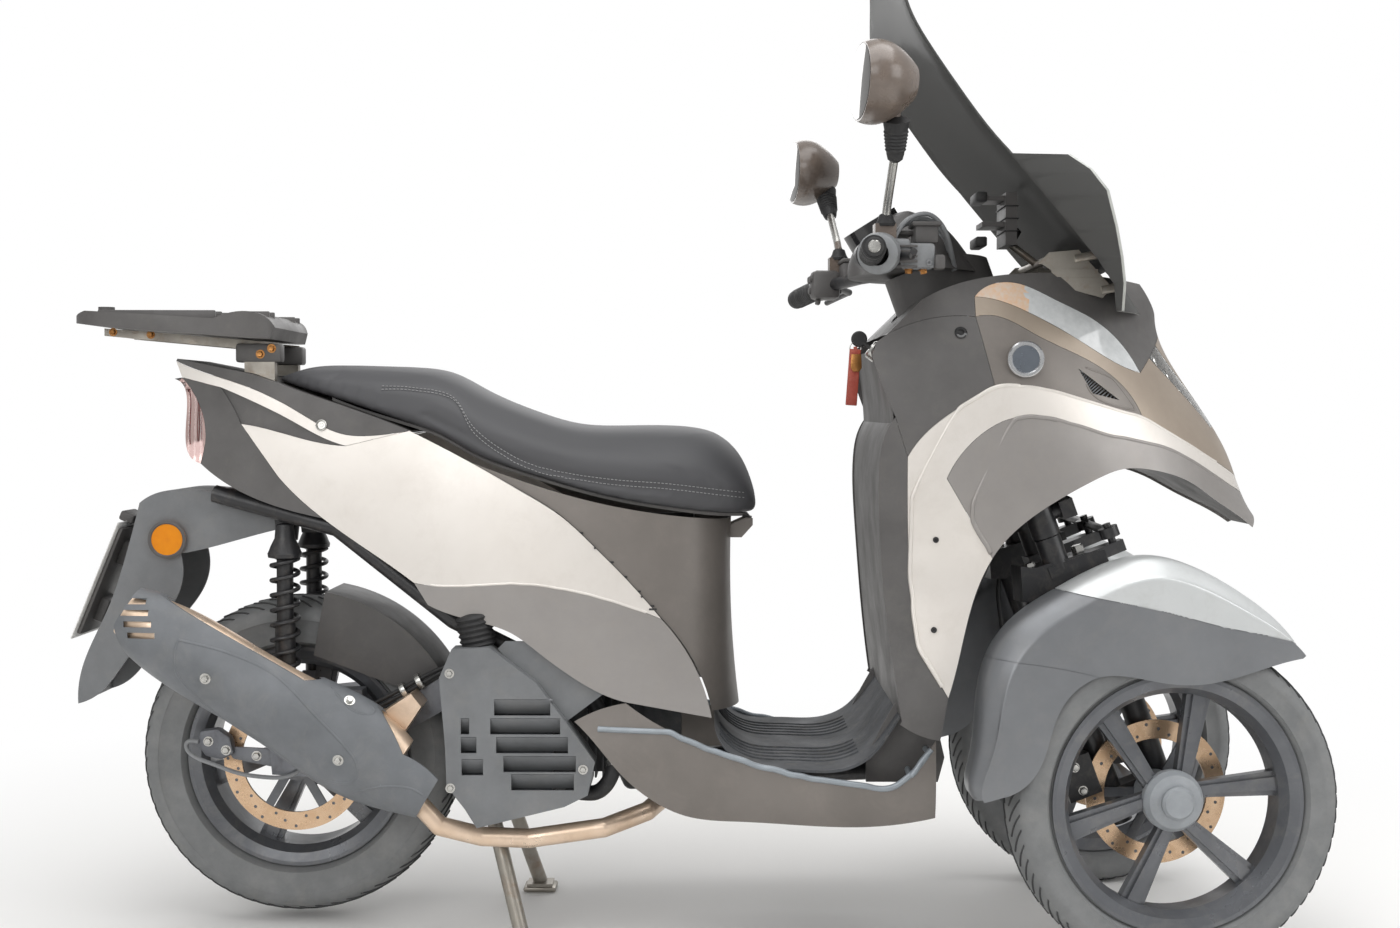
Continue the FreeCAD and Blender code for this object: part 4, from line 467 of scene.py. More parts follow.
def secondFinish(name, material, chosen):  # gives the faces of a node that chosen picks a finish of their own
    mesh = nodes[name].data
    mesh.materials.append(material)
    for polygon in mesh.polygons:
        if chosen(sum((mesh.vertices[i].co for i in polygon.vertices), Vector()) / len(polygon.vertices)):
            polygon.material_index = len(mesh.materials) - 1


print("fender caps, hubs and lamp ends")
capLine = [(1150, 572), (1176, 567), (1324, 536), (1416, 512), (1479, 500), (1560, 480)]
hubR, amberTo = 0.047, (1146 - axleShift) / 1000


def overCapLine(point):  # the CAD's groove parts the pale cap from the dark body
    x, z = point.x * 1000 + axleShift, point.z * 1000
    return any(xa <= x < xb and z > za + (zb - za) * (x - xa) / (xb - xa)
               for (xa, za), (xb, zb) in zip(capLine, capLine[1:]))


for side, word in leftRight:
    straight, hub = kingpinPlace(side).inverted(), wheelPlace(side).inverted()
    secondFinish("fender_" + word, capPaint, lambda p: overCapLine(straight @ p))
    secondFinish("rim_" + word, hubGrey, lambda p: (hub @ p).xz.length < hubR)
secondFinish("lamp_strips", amberLens, lambda p: p.x < amberTo)


print("tyres")

frontTyre = {"outerD": 500, "width": 92, "rimD": 384, "rimW": 78, "pitches": 68}
rearTyre = {"outerD": 512, "width": 130, "rimD": 356, "rimW": 104, "pitches": 60}
treadLook = {"grooveDeepMm": 2.2, "crowding": 0.34, "lean": 1.3, "grooves": (0.1, 0.43)}


def treadedTyre(name, node, body, place, outerD, width, rimD, rimW, pitches):
    crown, half, bead = outerD / 2, rimW / 2 - 6.5, rimD / 2 - 9.5
    shoulder, drop = crown - width * 0.16, width * 0.21
    shares = [0, 0.045, 0.12, 0.21, 0.3, 0.37, 0.42, 0.46]
    tread = [(crown - drop * (1 - sqrt(1 - (2 * s) ** 2)), width * s) for s in shares]
    wallSide = [(shoulder - 6, width * 0.495), (shoulder - 12, width * 0.5), (shoulder - 14, width * 0.488),
                ((shoulder + rimD / 2) / 2, width * 0.49), (rimD / 2 + 12, width / 2 - 3),
                (rimD / 2 + 9, width / 2 - 2.5), (rimD / 2 + 7, width / 2 - 5), (rimD / 2 + 2, half),
                (bead, half - 1)]
    inside = [(bead, half - 10), (rimD / 2 + 8, half - 12), (shoulder - 8, width / 2 - 9),
              (crown - 15, width * 0.24), (crown - 9.5, 0)]
    ring = tread + wallSide + inside
    ring += [(r, -y) for r, y in reversed(tread[1:] + wallSide + inside[:-1])]
    bm = turnedPart(ring, pitches * 2, True)
    step, treadFrom = pi / pitches, (crown - width * 0.35) / 1000
    for vert in bm.verts:  # uneven steps, so that every second gap is a groove, which leans with the width
        radius = vert.co.xy.length
        if radius > treadFrom:
            index = round(-Vector((1, 0)).angle_signed(vert.co.xy, 0.0) / step)
            fade = min(1.0, (radius - treadFrom) / (width * 0.0001))
            lean = min(abs(vert.co.z), width * 0.00046) / (crown / 1000) * treadLook["lean"]
            crowding = -treadLook["crowding"] if index % 2 else treadLook["crowding"]
            angle = index * step + crowding * step * fade + lean * fade
            vert.co.x, vert.co.y = radius * cos(angle), radius * sin(angle)
    bm.faces.ensure_lookup_table()
    grooves = []
    low, high = treadLook["grooves"]
    for face in bm.faces:
        centre = face.calc_center_median() * 1000
        if centre.xy.length < crown - width * 0.2 or not low < abs(centre.z) / width < high:
            continue
        lengths = [e.calc_length() for e in face.edges if abs(e.verts[0].co.z - e.verts[1].co.z) < 1e-4]
        if lengths and min(lengths) < step * crown / 1000 * 0.6:
            grooves.append(face)
    sunk = bmesh.ops.inset_region(bm, faces=grooves, thickness=0.0004, depth=-treadLook["grooveDeepMm"] / 1000,
                                  use_even_offset=True)
    # the grooves take the darker rubber, painted shade in the recesses
    for face in grooves + sunk["faces"]:
        face.material_index = 1
    bmesh.ops.transform(bm, matrix=Matrix.Rotation(radians(-90), 4, "X"), verts=bm.verts)
    piece = newPiece(name, bm, [tyreRubber, grooveRubber], body, 40, place)
    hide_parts(node)


treadedTyre("treadTyreLeft", "tyre_left", "wheel_front_left", wheelPlace(1), **frontTyre)
treadedTyre("treadTyreRight", "tyre_right", "wheel_front_right", wheelPlace(-1), **frontTyre)
treadedTyre("treadTyreRear", "tyre_rear", "wheel_rear", rearWheel, **rearTyre)


print("brake discs")

discLook = {"band": 28.4, "thick": 5.0, "holeR": 2.6, "holeRows": (6, 13.5, 21)}


def drilledDisc(name, body, outerD, innerY, place, holes):
    inner, outer = outerD / 2 - discLook["band"], outerD / 2 + 0.5  # over the CAD's disc by half a millimetre
    low, high = innerY - 0.5, innerY - 0.5 + discLook["thick"]
    ring = turnedPart([(inner, low), (outer, low), (outer, high), (inner, high)], 96, True)
    drills = bmesh.new()
    for i in range(holes):
        radius = (outerD / 2 - discLook["holeRows"][i % 3]) / 1000
        turn = 2 * pi * i / holes
        here = moved((radius * cos(turn), radius * sin(turn), (innerY + 2) / 1000))
        addTurned(drills, [(0, -6), (discLook["holeR"], -6), (discLook["holeR"], 6), (0, 6)], 12, here)
    flat = Matrix.Rotation(radians(-90), 4, "X")
    disc = newPiece(name, ring, discSteel, body, 35, place @ flat)
    cutter = newPiece(name + "Drills", drills, discSteel, body, 35, place @ flat)
    cut = disc.modifiers.new("holes", "BOOLEAN")
    cut.operation, cut.object, cut.solver = "DIFFERENCE", cutter, "EXACT"
    bpy.context.view_layer.update()
    drilled = bpy.data.meshes.new_from_object(disc.evaluated_get(bpy.context.evaluated_depsgraph_get()))
    disc.modifiers.clear()
    drilled.set_sharp_from_angle(angle=radians(35))
    disc.data = drilled
    bpy.data.objects.remove(cutter)


drilledDisc("frontDiscRight", "wheel_front_right", 220, 58, wheelPlace(-1), 33)
drilledDisc("frontDiscLeft", "wheel_front_left", 220, -62, wheelPlace(1), 33)
drilledDisc("rearDisc", "wheel_rear", 230, -68, rearWheel, 36)


print("saddle")
saddleLook = {"voxelMm": 6, "pressure": 4.0, "capMm": 6}  # capMm is how far the cover may swell
seamLook = {"dipMm": 2.2, "reachMm": 12, "stitchGapMm": 4}


def simulatedPad(source, name, voxelMm, pressure, capMm):
    start = bpy.data.objects.new(name + "Start", source.data.copy())
    scene.collection.objects.link(start)
    remesh = start.modifiers.new("remesh", "REMESH")
    remesh.mode, remesh.voxel_size = "VOXEL", voxelMm / 1000
    soften = start.modifiers.new("soften", "SMOOTH")
    soften.factor, soften.iterations = 0.5, 6
    bpy.context.view_layer.update()
    mesh = bpy.data.meshes.new_from_object(start.evaluated_get(bpy.context.evaluated_depsgraph_get()))
    bpy.data.objects.remove(start)
    pad = bpy.data.objects.new(name, mesh)
    scene.collection.objects.link(pad)
    rest = [v.co.copy() for v in mesh.vertices]
    held = pad.vertex_groups.new(name="held")
    for vertex in mesh.vertices:
        if vertex.normal.z < -0.35:  # the underside lies on its pan
            held.add([vertex.index], 1.0, "REPLACE")
    cloth = pad.modifiers.new("cloth", "CLOTH")
    settings = cloth.settings
    settings.vertex_group_mass = "held"
    settings.use_pressure, settings.uniform_pressure_force = True, pressure
    settings.quality, settings.mass, settings.bending_stiffness = 4, 0.4, 3
    settings.tension_stiffness = settings.compression_stiffness = 25
    settings.effector_weights.gravity = 0
    for step in range(1, 21):
        scene.frame_set(step)
    swollen = bpy.data.meshes.new_from_object(pad.evaluated_get(bpy.context.evaluated_depsgraph_get()))
    pad.modifiers.clear()
    pad.data = swollen
    for vertex, before in zip(swollen.vertices, rest):
        move = vertex.co - before
        if move.length > capMm / 1000:
            vertex.co = before + move.normalized() * capMm / 1000
    scene.frame_set(1)
    return pad


saddle = simulatedPad(nodes["saddle"], "saddleCover", **saddleLook)
saddle.data.materials.append(seatLeather)
saddleTree = treeOf(saddle.data)


def onSaddle(x, z, side):
    return saddleTree.ray_cast(at(x, side * 400, z), Vector((0, -side, 0)))[0]


def smoothLine(points, spacingMm):  # evenly spaced points along a smooth line through side-view points
    line = []
    count = len(points)
    for i in range(count - 1):
        p0, p1, p2, p3 = points[max(i - 1, 0)], points[i], points[i + 1], points[min(i + 2, count - 1)]
        for j in range(24):
            t = j / 24
            line.append(tuple(0.5 * (2 * b + (c - a) * t + (2 * a - 5 * b + 4 * c - d) * t * t
                                     + (3 * b - a - 3 * c + d) * t ** 3) for a, b, c, d in zip(p0, p1, p2, p3)))
    line.append(points[-1])
    even, carried = [line[0]], 0.0
    for a, b in zip(line, line[1:]):
        length = sqrt(sum((b[k] - a[k]) ** 2 for k in range(len(a))))
        while carried + length >= spacingMm:
            share = (spacingMm - carried) / length
            a = tuple(a[k] + (b[k] - a[k]) * share for k in range(len(a)))
            even.append(a)
            length *= 1 - share
            carried = 0.0
        carried += length
    return even


# The seam that parts the top from the sides
sideSeam = [(150, 868), (200, 866), (262, 852), (300, 800), (352, 762), (400, 742), (450, 731), (520, 722),
            (600, 716), (680, 706), (722, 700)]
seamPaths = []
for side in (-1, 1):
    points = [onSaddle(x, z, side) for x, z in smoothLine(sideSeam, 6.0)]
    seamPaths.append([p for p in points if p])
reach = seamLook["reachMm"] / 1000
for vertex in saddle.data.vertices:  # the cover dips along its seams
    near = min(min((vertex.co - p).length for p in path) for path in seamPaths)
    if near < reach:
        vertex.co -= vertex.normal * seamLook["dipMm"] / 1000 * (1 - near / reach) ** 2
soften = saddle.modifiers.new("subdivide", "SUBSURF")
soften.levels = soften.render_levels = 1
for polygon in saddle.data.polygons:
    polygon.use_smooth = True
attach(saddle, "saddle")
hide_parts("saddle")

stitches = bmesh.new()
for path in seamPaths:
    for offset in (-seamLook["stitchGapMm"], seamLook["stitchGapMm"]):
        for a, b in zip(path, path[1:]):
            hit, normal = saddleTree.find_nearest((a + b) / 2 + mm(0, 0, offset))[:2]
            stitch = turnedPart([(0, -2.2), (0.6, -1.6), (0.6, 1.6), (0, 2.2)], 6)
            joinInto(stitches, stitch, facing(hit + normal * 0.0004, b - a))
newPiece("saddleStitches", stitches, threadGrey, "saddle")


print("shock absorbers")
shockLook = {"springD": 50, "wireD": 7, "turns": 7.5}


def shockPart(low, high, springD, wireD, turns):
    way = high - low
    length = way.length * 1000
    place = facing(low, way)
    low = [(0, -14), (13, -14), (15, -8), (15, 26), (26, 28), (27, 34), (26, 38), (16, 40), (16, 120), (13, 122)]
    high = [(13, -44), (17, -42), (26, -40), (27, -34), (25, -30), (22, -22), (16, -10), (14, 12), (0, 14)]
    body = turnedPart(low + [(r, length + z) for r, z in high], 32)
    coils, steps = [], int(turns * 12)
    for i in range(steps + 1):
        angle = 2 * pi * turns * i / steps
        rise = 42 + (length - 84) * i / steps
        radius = (springD - wireD) / 2
        coils.append(Vector((radius * cos(angle), radius * sin(angle), rise)) / 1000)
    return joinInto(joinInto(bmesh.new(), body, place), tubePart(coils, wireD / 2), place)


shocks = bmesh.new()
for side in (-1, 1):
    joinInto(shocks, shockPart(at(-8, side * 98, 378), at(-8, side * 98, 640), **shockLook))
shockPiece = newPiece("shockAbsorbers", shocks, framePaint)
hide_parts("rear_shocks")

print("screen")
sheetBm = bmesh.new()
sheetBm.from_mesh(nodes["windscreen"].data)
bmesh.ops.remove_doubles(sheetBm, verts=sheetBm.verts, dist=2e-5)
sheetBm.faces.ensure_lookup_table()
regions, region = [], {}
for first in sheetBm.faces:  # faces that meet softly belong together: each side of the sheet, and its cut edge
    if first in region:
        continue
    group, waiting = [], [first]
    region[first] = group
    while waiting:
        face = waiting.pop()
        group.append(face)
        for edge in face.edges:
            if len(edge.link_faces) == 2 and edge.calc_face_angle(0) < radians(40):
                for other in edge.link_faces:
                    if other not in region:
                        region[other] = group
                        waiting.append(other)
    regions.append(group)
areas = [sum(f.calc_area() for f in group) for group in regions]
# The cut edge takes the pale edge colour, a painted highlight along it
for group, area in zip(regions, areas):
    for face in group:
        face.material_index = int(area < 0.2 * max(areas))  # the small regions are the cut edge
sheetPiece = newPiece("screenSheet", sheetBm, screenSheet, sharpDeg=40)
sheetPiece.data.materials.append(screenEdgeHighlight)
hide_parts("windscreen")


print("cockpit")
cockpit = kingpinPlace(0)
cockpitLook = {"ribs": 13, "ribGapMm": 9.5, "hoseR": 3.6}

gripWay = Vector((35, 140, 16)).normalized()
profile = [(17.5, -26), (24, -25), (30, -20), (31, -12), (31, 10), (28, 15), (22, 18), (17.5, 18)]
rightHousing = addTurned(bmesh.new(), profile, 40, facing(at(914, -252, 1066), gripWay), True)
addBlock(rightHousing, 952, 1000, -232, -196, 1046, 1084, 6)
addBlock(rightHousing, 924, 962, -238, -200, 1058, 1090, 6)
for x, z in ((962, 1076), (990, 1054)):
    joinInto(rightHousing, screwPart(9, 4), facing(at(x, -232, z), (0, -1, 0)))
newPiece("throttleHousing", rightHousing, paleHousing, "handlebar")
darkCluster = bmesh.new()
addBlock(darkCluster, 970, 1006, -222, -170, 1084, 1112, 5)
addBlock(darkCluster, 966, 1010, -226, -166, 1110, 1117, 3)
addBlock(darkCluster, 998, 1014, -240, -214, 1044, 1066, 4)
for i in range(5):
    addBlock(darkCluster, 940, 972, -243, -239, 1046 + i * 7.5, 1050 + i * 7.5, 1.4)
newPiece("reservoir", darkCluster, blackPlastic, "handlebar")
leftHousing = addBlock(bmesh.new(), 858, 908, 185, 227, 1033, 1083, 9)
for y, z in ((197, 1068), (215, 1068), (206, 1048)):  # buttons
    addTurned(leftHousing, [(0, -1), (6, -1), (6, 2.5), (4.5, 4), (0, 4)], 20, facing(at(858, y, z), (-1, 0, 0)))
joinInto(leftHousing, blockPart(-7, 7, -4, 4, 0, 9, 2), facing(at(872, 206, 1033), (-0.3, 0, -1)))
addBlock(leftHousing, 905, 952, 146, 192, 1060, 1092, 4)
for side in (-1, 1):
    addBlock(leftHousing, 903, 954, side * 169 - 25, side * 169 + 25, 1092, 1099, 3)
newPiece("switchHousings", leftHousing, blackPlastic, "handlebar", 35, cockpit)

ribs, ends, stems, bellows, glasses = [bmesh.new() for i in range(5)]
for side in (-1, 1):
    inner, outer = at(880, side * 230, 1056), at(859, side * 365, 1050)
    way = (outer - inner).normalized()
    endPlace = facing(outer + way * 0.008, way)
    for i in range(cockpitLook["ribs"]):
        addTurned(ribs, [(16, -3.2), (17.9, -2.4), (17.9, 2.4), (16, 3.2)], 32,
                  facing(inner + way * (14 + cockpitLook["ribGapMm"] * i) / 1000, way), True)
    addTurned(ends, [(0, 4), (9, 4), (9, 12), (7.5, 14), (0, 14.4)], 32, endPlace)
    addTurned(ribs, [(8, 2), (13.5, 2), (13.5, 9), (12, 10), (8, 10)], 32, endPlace, True)
    addTurned(ribs, [(15, -3), (21, -3), (22, 0), (21, 3), (15, 3)], 36, facing(inner + way * 0.004, way), True)
    top = 1276 if side > 0 else 1290
    foot, bend = at(908, side * 206, 1104), at(908, side * 206, 1121)
    neck, head = at(905, side * 290, 1200), at(900, side * 326, top - 20)
    joinInto(stems, tubePart([foot, bend, bend.lerp(neck, 0.5), neck], 6.6, sides=4))
    lift = (head - neck).normalized()
    folds = [(13.5 + (1.6 if i % 2 else 0) + i * 0.3, i * 2.6) for i in range(13)]
    profile = [(6, -16), (11, -12), (13, -4)] + folds + [(18, 36), (20, 46), (6, 52)]
    addTurned(bellows, profile, 28, facing(neck, lift))
    addTurned(bellows, [(6, -4), (15, -4), (16, 0), (13, 5), (10, 14), (6.5, 16)], 28,
              facing(at(908, side * 206, 1106), (0, 0, 1)))
    glass = turnedPart([(0, -0.4), (50, -0.4), (51.5, 0.4), (50, 1.2), (0, 1.2)], 48)
    bmesh.ops.scale(glass, vec=(1, 1.48, 1), verts=glass.verts)
    joinInto(glasses, glass, facing(at(846, side * 330, top), (-1, 0, 0), pi / 2 if side else 0))
newPiece("gripRibs", ribs, softRubber, "handlebar", 35, cockpit)
newPiece("barEnds", ends, brightSteel, "handlebar", 35, cockpit)
newPiece("mirrorStems", stems, brightSteel, "handlebar", 35, cockpit)
newPiece("mirrorBellows", bellows, softRubber, "handlebar", 30, cockpit)
newPiece("mirrorGlasses", glasses, mirrorGlass, "handlebar", 35, cockpit)

barHoses = bmesh.new()
for shift in (0, 11, 22):
    route = [(940, -215, 1092), (950, -212, 1113), (972, -200, 1129 - shift * 0.4),
             (997, -188, 1133 - shift * 0.6), (1018, -172, 1118 - shift * 0.5), (1031, -150, 1097),
             (1040, -124, 1076), (1048, -104, 1056)]
    joinInto(barHoses, hosePart([(x, y + shift, z) for x, y, z in route], cockpitLook["hoseR"]))
newPiece("barHoses", barHoses, paleHousing, "handlebar")
fittings = bmesh.new()
for spot, way in (((962, -215, 1046), (0, 0, -1)), ((984, -210, 1046), (0.2, 0, -1)),
                  ((1000, -214, 1058), (1, 0, -0.2))):
    addBolts(fittings, (11, 7, 14), [spot], way)
newPiece("brakeFittings", fittings, brassFitting, "handlebar")

print("dash and nose")
lockWay = Vector((-0.78, 0, 0.62)).normalized()
lockAt = at(924, -62, 930)
lock = turnedPart([(0, -14), (15, -14), (16, -8), (16, 3), (13, 6), (0, 6)], 32)
newPiece("ignitionLock", lock, brightSteel, place=facing(lockAt, lockWay))
keyHead = turnedPart([(0, -2.5), (11, -2.5), (13, 0), (11, 2.5), (0, 2.5)], 28)
keyBm = joinInto(bmesh.new(), keyHead, facing(lockAt + lockWay * 0.028, (0, 1, 0)))
joinInto(keyBm, tubePart([lockAt + lockWay * 0.004, lockAt + lockWay * 0.02], 3.0))
newPiece("key", keyBm, softRubber)
ringAt = lockAt + lockWay * 0.028 + mm(-6, 0, -14)
ringPoints = [ringAt + Vector((0.009 * cos(2 * pi * i / 16), 0, 0.009 * sin(2 * pi * i / 16))) for i in range(16)]
newPiece("keyRing", tubePart(ringPoints, 0.9, True), brightSteel)
strap = bmesh.new()
joinInto(strap, blockPart(-9, 9, -3, 3, -92, -2, 1.4), moved(ringAt) @ Matrix.Rotation(radians(4), 4, "Y"))
joinInto(strap, blockPart(-3, 3, -1.5, 1.5, -8, 2, 0.6), moved(ringAt))
newPiece("keyStrap", strap, redLeather)
keyTag = platePart([(-8, -14), (8, -14), (9, 8), (5, 14), (-5, 14), (-9, 8)], -1, 1.2, 0.8)
newPiece("keyTag", keyTag, brassFitting, place=facing(ringAt + mm(1, -5, -24), (0, -1, 0), pi))

emblems, faces, screws = [bmesh.new() for i in range(3)]
for side in (-1, 1):
    centre, normal = onNode("emblem_panels", 1137, 911, side)
    outward = facing(centre, (0, side, 0))
    addTurned(emblems, [(20.5, -1), (27, -1), (27.4, 1.2), (25.5, 3.2), (22, 3.2), (20.5, 1.6)], 48, outward,
              True)
    addTurned(faces, [(0, -1), (20.8, -1), (20.8, 1.2), (12, 2.2), (0, 2.6)], 40, outward)
    centre, normal = onNode("dash_sides", 1042, 951, side)
    if centre:
        addTurned(screws, [(0, 0.2), (4, 0.2), (5, 2), (8, 2.6), (9.5, 1.4), (9.5, -1)], 28,
                  facing(centre, normal))
newPiece("emblemRings", emblems, emblemRing)
newPiece("emblemFaces", faces, emblemFace)
newPiece("dashScrews", screws, glossBlack)

ventMesh, ventWires = bmesh.new(), 18
for side in (-1, 1):
    top, tip, bottom = Vector((1226, 899)), Vector((1290, 849)), Vector((1243, 857))
    for i in range(ventWires):
        t = (i + 0.5) / ventWires
        a = top.lerp(tip, t)
        b = top.lerp(bottom, min(t * 1.5, 1)) if t < 0.67 else bottom.lerp(tip, (t - 0.67) * 3)
        hitA = onNode("emblem_panels", a.x, a.y + 6, side)[0]
        hitB = onNode("emblem_panels", b.x - 3, b.y - 5, side)[0]
        if hitA and hitB:
            inset = Vector((0, -side * 0.005, 0))
            wire = [hitA + inset, hitA.lerp(hitB, 0.5) + inset, hitB + inset]
            joinInto(ventMesh, tubePart(wire, 1.0, sides=1))
newPiece("ventMesh", ventMesh, wornPlastic)

lampInner, lampStrips = bmesh.new(), bmesh.new()
for side in (-1, 1):
    for z in (842, 866, 890, 914):
        hits = [(y, castOn("headlamps", at(1750, side * y, z), (-1, 0, 0))[0]) for y in range(10, 130, 3)]
        hits = [pair for pair in hits if pair[1]]
        if len(hits) < 5:
            continue
        y, hit = hits[len(hits) // 2]
        r = min(0.42 * (hits[-1][0] - hits[0][0]), 17)
        profile = [(0, -14), (r * 0.5, -12), (r * 0.85, -6), (r, 2), (r - 1.2, 2), (r * 0.8, -5),
                   (r * 0.45, -11), (0, -12.6)]
        addTurned(lampInner, profile, 24, facing(hit - mm(11, 0, 5), (1, 0, 0.4)))
    route = smoothLine([(1092, 1008), (1150, 996), (1232, 952), (1300, 912), (1326, 899)], 6.0)
    hits = [onNode("lamp_strips", x, z, side)[0] for x, z in route]
    line = [hit - Vector((0, side * 0.006, 0)) for hit in hits if hit]
    if len(line) > 3:
        joinInto(lampStrips, tubePart(line, 3.2, sides=2))
newPiece("lampBowls", lampInner, reflectorChrome)
newPiece("daylightStrips", lampStrips, plateWhite)

holder = bmesh.new()
for z in (1106, 1178):
    addBlock(holder, 1092, 1110, -34, 34, z - 8, z + 8, 3)
for z in (1122, 1142, 1162):
    addBlock(holder, 1136, 1159, -44, 44, z - 1, z + 1, 0.8)
addTurned(holder, [(0, -4), (11, -4), (13, 0), (11, 8), (0, 9)], 24, facing(at(1158, 0, 1120), (0.8, 0, -0.5)))
newPiece("phoneHolderRibs", holder, softRubber)


print("fixings")


def fixedOn(name, node, spots, part, material):  # the same part on each spot of a node's right side
    bm = bmesh.new()
    for x, z in spots:
        hit, normal = onNode(node, x, z)
        if hit:
            joinInto(bm, part(), facing(hit, normal))
    newPiece(name, bm, material)


fixedOn("shroudBolts", "radiator_shroud", [(267, 431), (268, 255), (471, 284)], lambda: boltPart(10, 5, 15),
        brightSteel)
fixedOn("guardBolts", "muffler_guard", [(-101, 425), (100, 301), (113, 388)], lambda: boltPart(11, 6, 17),
        brightSteel)
fixedOn("reflectorFaces", "reflectors", [(-200, 626)],
        lambda: turnedPart([(25, -0.5), (30, -0.5), (30.5, 1), (27, 2.2), (25, 1)], 40, True), blackPlastic)
fixedOn("frontScrews", "front_covers", [(1000, 505), (1003, 640)], lambda: screwPart(9, 3), softRubber)
# The saddle's lock sits in the grab recess, on whichever panel is there
for name in ("tail_sides", "tail_cover", "base_panel", "storage_tub"):
    hit, normal = onNode(name, 59, 809)
    if hit and hit.y < -0.1:
        lockProfile = [(0, 2.6), (3, 2.6), (3.4, 1.4), (6, 1.4), (7, 3.2), (9, 2.6), (9.4, -2)]
        newPiece("tailLock", turnedPart(lockProfile, 28), brightSteel, place=facing(hit, normal))
        break

print("rear brake and lines")
caliper = bmesh.new()
caliperEdge = [(-150, 300), (-146, 322), (-118, 326), (-98, 312), (-92, 286), (-112, 276), (-138, 282)]
joinInto(caliper, platePart(caliperEdge, 74, 96, 4), upright)
joinInto(caliper, platePart([(-110, 296), (-30, 292), (-28, 262), (-96, 276)], 80, 86, 1.5), upright)
newPiece("rearCaliper", caliper, castAluminium)
spots = [(-132, -96, 306), (-104, -96, 292), (-58, -86, 281)]
newPiece("rearCaliperBolts", addBolts(bmesh.new(), (12, 6, 16), spots, (0, -1, 0)), brightSteel)
brakeLine = [(-148, -98, 306), (-165, -102, 310), (-166, -103, 294), (-150, -104, 281), (-118, -105, 270),
             (-81, -106, 256), (-45, -105, 251), (-14, -103, 249), (10, -98, 256), (22, -90, 268)]
newPiece("rearBrakeHose", hosePart(brakeLine, 3.4), paleHousing)
armLines = bmesh.new()
for shift in (0, 9):
    route = [(120, -97, 352 + shift), (170, -98, 378 + shift), (215, -98, 404 + shift),
             (250, -97, 424 + shift * 0.6), (292, -95, 432 + shift * 0.4), (325, -88, 436)]
    joinInto(armLines, hosePart(route, 3.4))
newPiece("armHoses", armLines, softRubber)
clamps = bmesh.new()
for x, z in ((180, 389), (205, 403)):
    clampPlace = facing(at(x, -97, z), (0.87, 0, 0.49))
    addTurned(clamps, [(5, -4), (13, -4), (13.5, 0), (13, 4), (5, 4)], 24, clampPlace, True)
addBolts(clamps, (11, 5, 15), [(196, -93, 376), (150, -93, 352)], (0, -1, 0))
newPiece("hoseClamps", clamps, brightSteel)
profile = [(10, -30)] + [(25 + (3 if i % 2 else 0), -26 + i * 4.2) for i in range(13)] + [(10, 30)]
neckPlace = facing(at(302, -158, 492), (-0.2, 0, 1))
newPiece("intakeNeck", turnedPart(profile, 30), softRubber, sharpDeg=30, place=neckPlace)
coolantLine = [(512, -130, 330), (520, -150, 300), (515, -158, 270), (500, -152, 244), (478, -140, 232),
               (440, -138, 240)]
newPiece("coolantHose", hosePart(coolantLine, 12, 5), softRubber)
hoseClip = turnedPart([(11, -4), (13.4, -4), (13.4, 4), (11, 4)], 30, True)
newPiece("hoseClip", hoseClip, brightSteel, place=facing(at(517, -154, 286), (0.1, -0.3, -1)))

print("tail")
plateFrame = facing(at(-319.5, 0, 558.5), (-0.924, 0, 0.382))
plateEdge = [(-70, -101), (70, -101), (73, -98), (73, 98), (70, 101), (-70, 101), (-73, 98), (-73, -98)]
newPiece("numberPlate", platePart(plateEdge, 0, 1.6, 0.4), plateWhite, place=plateFrame)
plateBack = bmesh.new()
for sizes in ((-60, 60, -92, 92, -7, -0.4, 2), (-26, 26, 30, 70, -44, -5, 3), (-26, 26, -70, -30, -22, -5, 3),
              (-30, 30, 98, 114, -8, 16, 4)):  # back, two stays and the lamp over the plate
    joinInto(plateBack, blockPart(*sizes), plateFrame)
newPiece("plateHolder", plateBack, blackPlastic)

tailStrip = bmesh.new()
for side in (-1, 1):
    points = [castOn("tail_lamp", at(-700, side * 58, z), (1, 0, 0))[0] for z in range(864, 770, -8)]
    points = [p - mm(0.6, 0, 0) for p in points if p]
    if len(points) > 3:
        joinInto(tailStrip, tubePart(points, 2.2, sides=2))
newPiece("tailStrips", tailStrip, redStrip)

rack = bmesh.new()
for y in (-110, -74, -38, 0, 38, 74, 110):
    addBlock(rack, -296, -112, y - 3, y + 3, 970, 989, 1.5)
for y in (-98, -66, 66, 98):
    addBlock(rack, -84, -30, y - 2.5, y + 2.5, 960, 988, 1.5)
for y in (-86, 58):
    addBlock(rack, -88, -16, y, y + 28, 908, 938, 4)
newPiece("rackRibs", rack, blackPlastic)
rackBolts = bmesh.new()
for side in (-1, 1):
    addBolts(rackBolts, (10, 6, 14), [(-30, side * 86, 930), (-48, side * 86, 921)], (0, side, 0))
    addBolts(rackBolts, (9, 5, 13), [(-286, side * 72, 956), (-226, side * 72, 952)], (0, side, 0))
newPiece("rackBolts", rackBolts, brassFitting)

